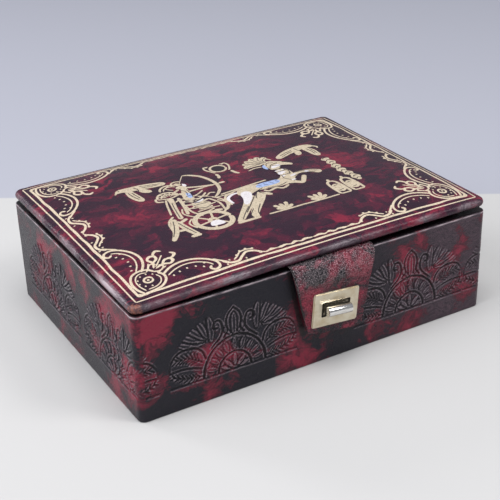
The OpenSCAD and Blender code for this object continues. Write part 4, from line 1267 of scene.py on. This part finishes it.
# Up the wall, across the fold, and round the lid's edge; radius and heights in metres.
HINGE_Y, BEND_R = 0.0820, 0.0026
bend = np.linspace(-1.15, 0.95, 14)
hinge_line = np.vstack([
    np.c_[np.full(14, HINGE_Y), np.linspace(0.0376, 0.0590, 14)],
    np.c_[np.full(12, HINGE_Y), np.linspace(0.0594, 0.0628, 12)],
    np.c_[HINGE_Y - BEND_R * (1 - np.cos(bend)), 0.0661 + BEND_R * np.sin(bend)],
])
hinge = profile_along_x("leather_hinge", hinge_line, 0.0010, 0.100, 121)
hinge_x, _, hinge_z = points_mm(hinge).T
paint(hinge, "blot", 0.5 * ripple(hinge_x, hinge_z, 60, 11))
hinge.data.materials.append(case_dye.material)
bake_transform(hinge)
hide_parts("hinge_case_strip", "hinge_lid_strip")

cotton = Finish("cotton tape", roughness=0.85, base_color=(0.16, 0.02, 0.03))
weft = cotton.add("TexWave", {"bands_direction": "X"}, {"Vector": cotton.at, "Scale": 320})
warp_threads = cotton.add("TexWave", {"bands_direction": "Z"}, {"Vector": cotton.at, "Scale": 320})
cotton.set(
    base_color=cotton.mix(weft * warp_threads, (0.13, 0.016, 0.03), (0.22, 0.04, 0.05)),
    normal=cotton.bump(weft + warp_threads, 0.00008),
)
tape_line = curve([
    (0.0748, 0.0580), (0.0748, 0.0602), (0.0744, 0.0608), (0.0733, 0.0606), (0.0727, 0.0598),
    (0.0720, 0.0601), (0.0718, 0.0612), (0.0717, 0.0622), (0.0711, 0.0628), (0.0704, 0.0629),
], 40)
tape = profile_along_x("folded_tape", tape_line[::-1], 0.0003, 0.0995, 3)
tape.data.materials.append(cotton.material)
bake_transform(tape)
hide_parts("hinge_tape")

# ------------------------------------------------- velvet linings, dividers
# Cards covered in wine velvet and glued in: floor, walls, lid panel and the
# dividers that stand in the room.


def velvet_finish(name, deep, light):
    """Short pile: rough, with sheen, lighter where it is brushed against its lie."""
    pile = Finish(name, roughness=0.92, sheen_weight=0.7, sheen_roughness=0.4, sheen_tint=light)
    brushed_way = pile.noise(pile.at, 30, 4, 0.6, 0.6).step(0.35, 0.7)
    tufts = pile.noise(pile.at, 2400, 2)
    pile.set(
        base_color=pile.mix(brushed_way * 0.6 + tufts * 0.4, deep, light),
        normal=pile.bump(tufts, 0.00015),
    )
    return pile


velvet = velvet_finish("wine velvet", (0.075, 0.003, 0.012), (0.20, 0.015, 0.035))
linings = ["floor_lining", "front_lining", "back_lining", "left_lining", "right_lining"]
dividers = ["long_divider", "front_divider", "back_divider", "ring_card", "lid_lining"]
finish_nodes(velvet, linings + dividers, 0.0005)

# --------------------------------------------------------------- ring rolls
# Six velvet tubes filled with wadding, side by side on a covered card. They
# press on each other and on the card, and their ends are gathered.

roll_low, roll_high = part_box("ring_rolls")
ROLL_R, ROLL_PITCH, ROLLS = 0.0065, 0.0134, 6


def padded_roll(k):
    """A tube along X whose section is a circle with its sides and underside eased flat,
    and whose radius falls to nothing at the ends as a high-power superellipse."""
    t = (1 - np.cos(np.linspace(0, np.pi, 96))) / 2
    x = roll_low.x + (roll_high.x - roll_low.x) * t
    full = np.sqrt(np.clip(1 - np.abs(2 * t - 1) ** 26, 0.0008, 1))
    a = np.linspace(0, 2 * np.pi, 49)[:-1]
    y, z = np.cos(a), np.sin(a)
    y = np.sign(y) * np.minimum(np.abs(y), 0.97)
    z = np.where(z < 0, np.maximum(z, -0.96), z)
    dents = 0.02 * ripple(x[:, None] * 1000, a[None, :] * 12, 17, 40 + k)
    gather = 0.03 * np.cos(12 * a)[None, :] * (np.abs(2 * t - 1)[:, None] ** 40)
    r = ROLL_R * full[:, None] * (0.985 + dents + gather)
    middle = roll_low.y + ROLL_R + ROLL_PITCH * k
    grid = np.dstack([x[:, None] + 0 * r, middle + r * y, roll_low.z + ROLL_R * 0.975 + r * z])
    return weave(f"ring_roll_{k + 1}", grid, around=True, caps=True)


for k in range(ROLLS):
    roll = dress(padded_roll(k), velvet, "velvet", "case", "ring_rolls")

# ------------------------------------------------------------------- mirror
# Silvered glass held between the lid's lining panel and the board.

silvered = Finish("silvered glass", metallic=1.0, base_color=(0.86, 0.88, 0.88))
specks = silvered.noise(silvered.at, 500, 3).step(0.6, 0.8)
silvered.set(roughness=specks * 0.05 + 0.03)
finish_nodes(silvered, ["lid_mirror"])

# ------------------------------------------------------- table, light, view
# A pale table that turns grey-lilac beyond the case, lit by soft boxes.

ground = Finish("pale table", roughness=0.75, specular_ior_level=0.3)
away = ground.add("SeparateXYZ", (), {0: ground.at}, "Y")
sideways = ground.add("SeparateXYZ", (), {0: ground.at}, "X")
behind = (away * 0.843 + sideways * 0.541).step(0.1475, 0.1505)
cloudy = ground.noise(ground.at, 3, 2)
table_colour = ground.mix(cloudy, (0.530, 0.530, 0.532), (0.565, 0.565, 0.568))
ground.set(base_color=ground.mix(behind, table_colour, (0.410, 0.422, 0.490)))
low = cad_box[0][2]
corners = [(-4, -4, low), (4, -4, low), (4, 4, low), (-4, 4, low)]
floor = surface("table_top", np.array(corners, float), np.array([[0, 1, 2, 3]]))
floor.data.materials.append(ground.material)


def soft_box(name, place, aim, size, power, colour):
    """Square area light at place, facing aim."""
    lamp = bpy.data.lights.new(name, "AREA")
    lamp.size, lamp.energy, lamp.color = size, power, colour
    made = bpy.data.objects.new(name, lamp)
    made.matrix_world = Matrix.Translation(place) @ (
        (Vector(aim) - Vector(place)).to_track_quat("-Z", "Y").to_matrix().to_4x4()
    )
    bpy.context.scene.collection.objects.link(made)


soft_box("window_light", (-1.2, 0.1, 1.0), (0, 0, 0.03), 1.1, 13.5, (0.97, 0.98, 1.0))
soft_box("ceiling_light", (-0.1, -0.2, 1.6), (0, 0, 0.05), 0.9, 15.5, (1.0, 0.99, 0.98))
soft_box("front_light", (0.75, -0.9, 1.3), (0, 0, 0.04), 0.5, 10, (1.0, 0.98, 0.96))
soft_box("back_light", (-0.8, 1.15, 0.72), (-0.05, 0, 0.05), 0.35, 5, (1.0, 0.97, 0.97))
world = bpy.data.worlds.new("room")
world.use_nodes = True
daylight = world.node_tree.nodes["Background"]
daylight.inputs["Color"].default_value = (0.80, 0.82, 0.88, 1)
daylight.inputs["Strength"].default_value = 0.35
bpy.context.scene.world = world
bpy.context.scene.view_settings.view_transform = "Standard"

AZIMUTH, ELEVATION, ROLL = np.radians((-29.93, 27.12, -1.63))
to_camera = Vector((
    np.sin(AZIMUTH) * np.cos(ELEVATION), -np.cos(AZIMUTH) * np.cos(ELEVATION), np.sin(ELEVATION)
))
# The camera's right and up before its roll, and after it.
level_right = (-to_camera).cross(Vector((0, 0, 1))).normalized()
level_up = level_right.cross(-to_camera)
right = np.cos(ROLL) * level_right + np.sin(ROLL) * level_up
up = np.cos(ROLL) * level_up - np.sin(ROLL) * level_right
eye = Vector((0.00346, 0.00186, 0.0309)) + 0.66385 * to_camera
camera = bpy.data.objects.new("camera", bpy.data.cameras.new("camera"))
camera.data.lens, camera.data.sensor_width = 81.01, 36
camera.matrix_world = Matrix.Translation(eye) @ Matrix((right, up, to_camera)).transposed().to_4x4()
bpy.context.scene.collection.objects.link(camera)
bpy.context.scene.camera = camera
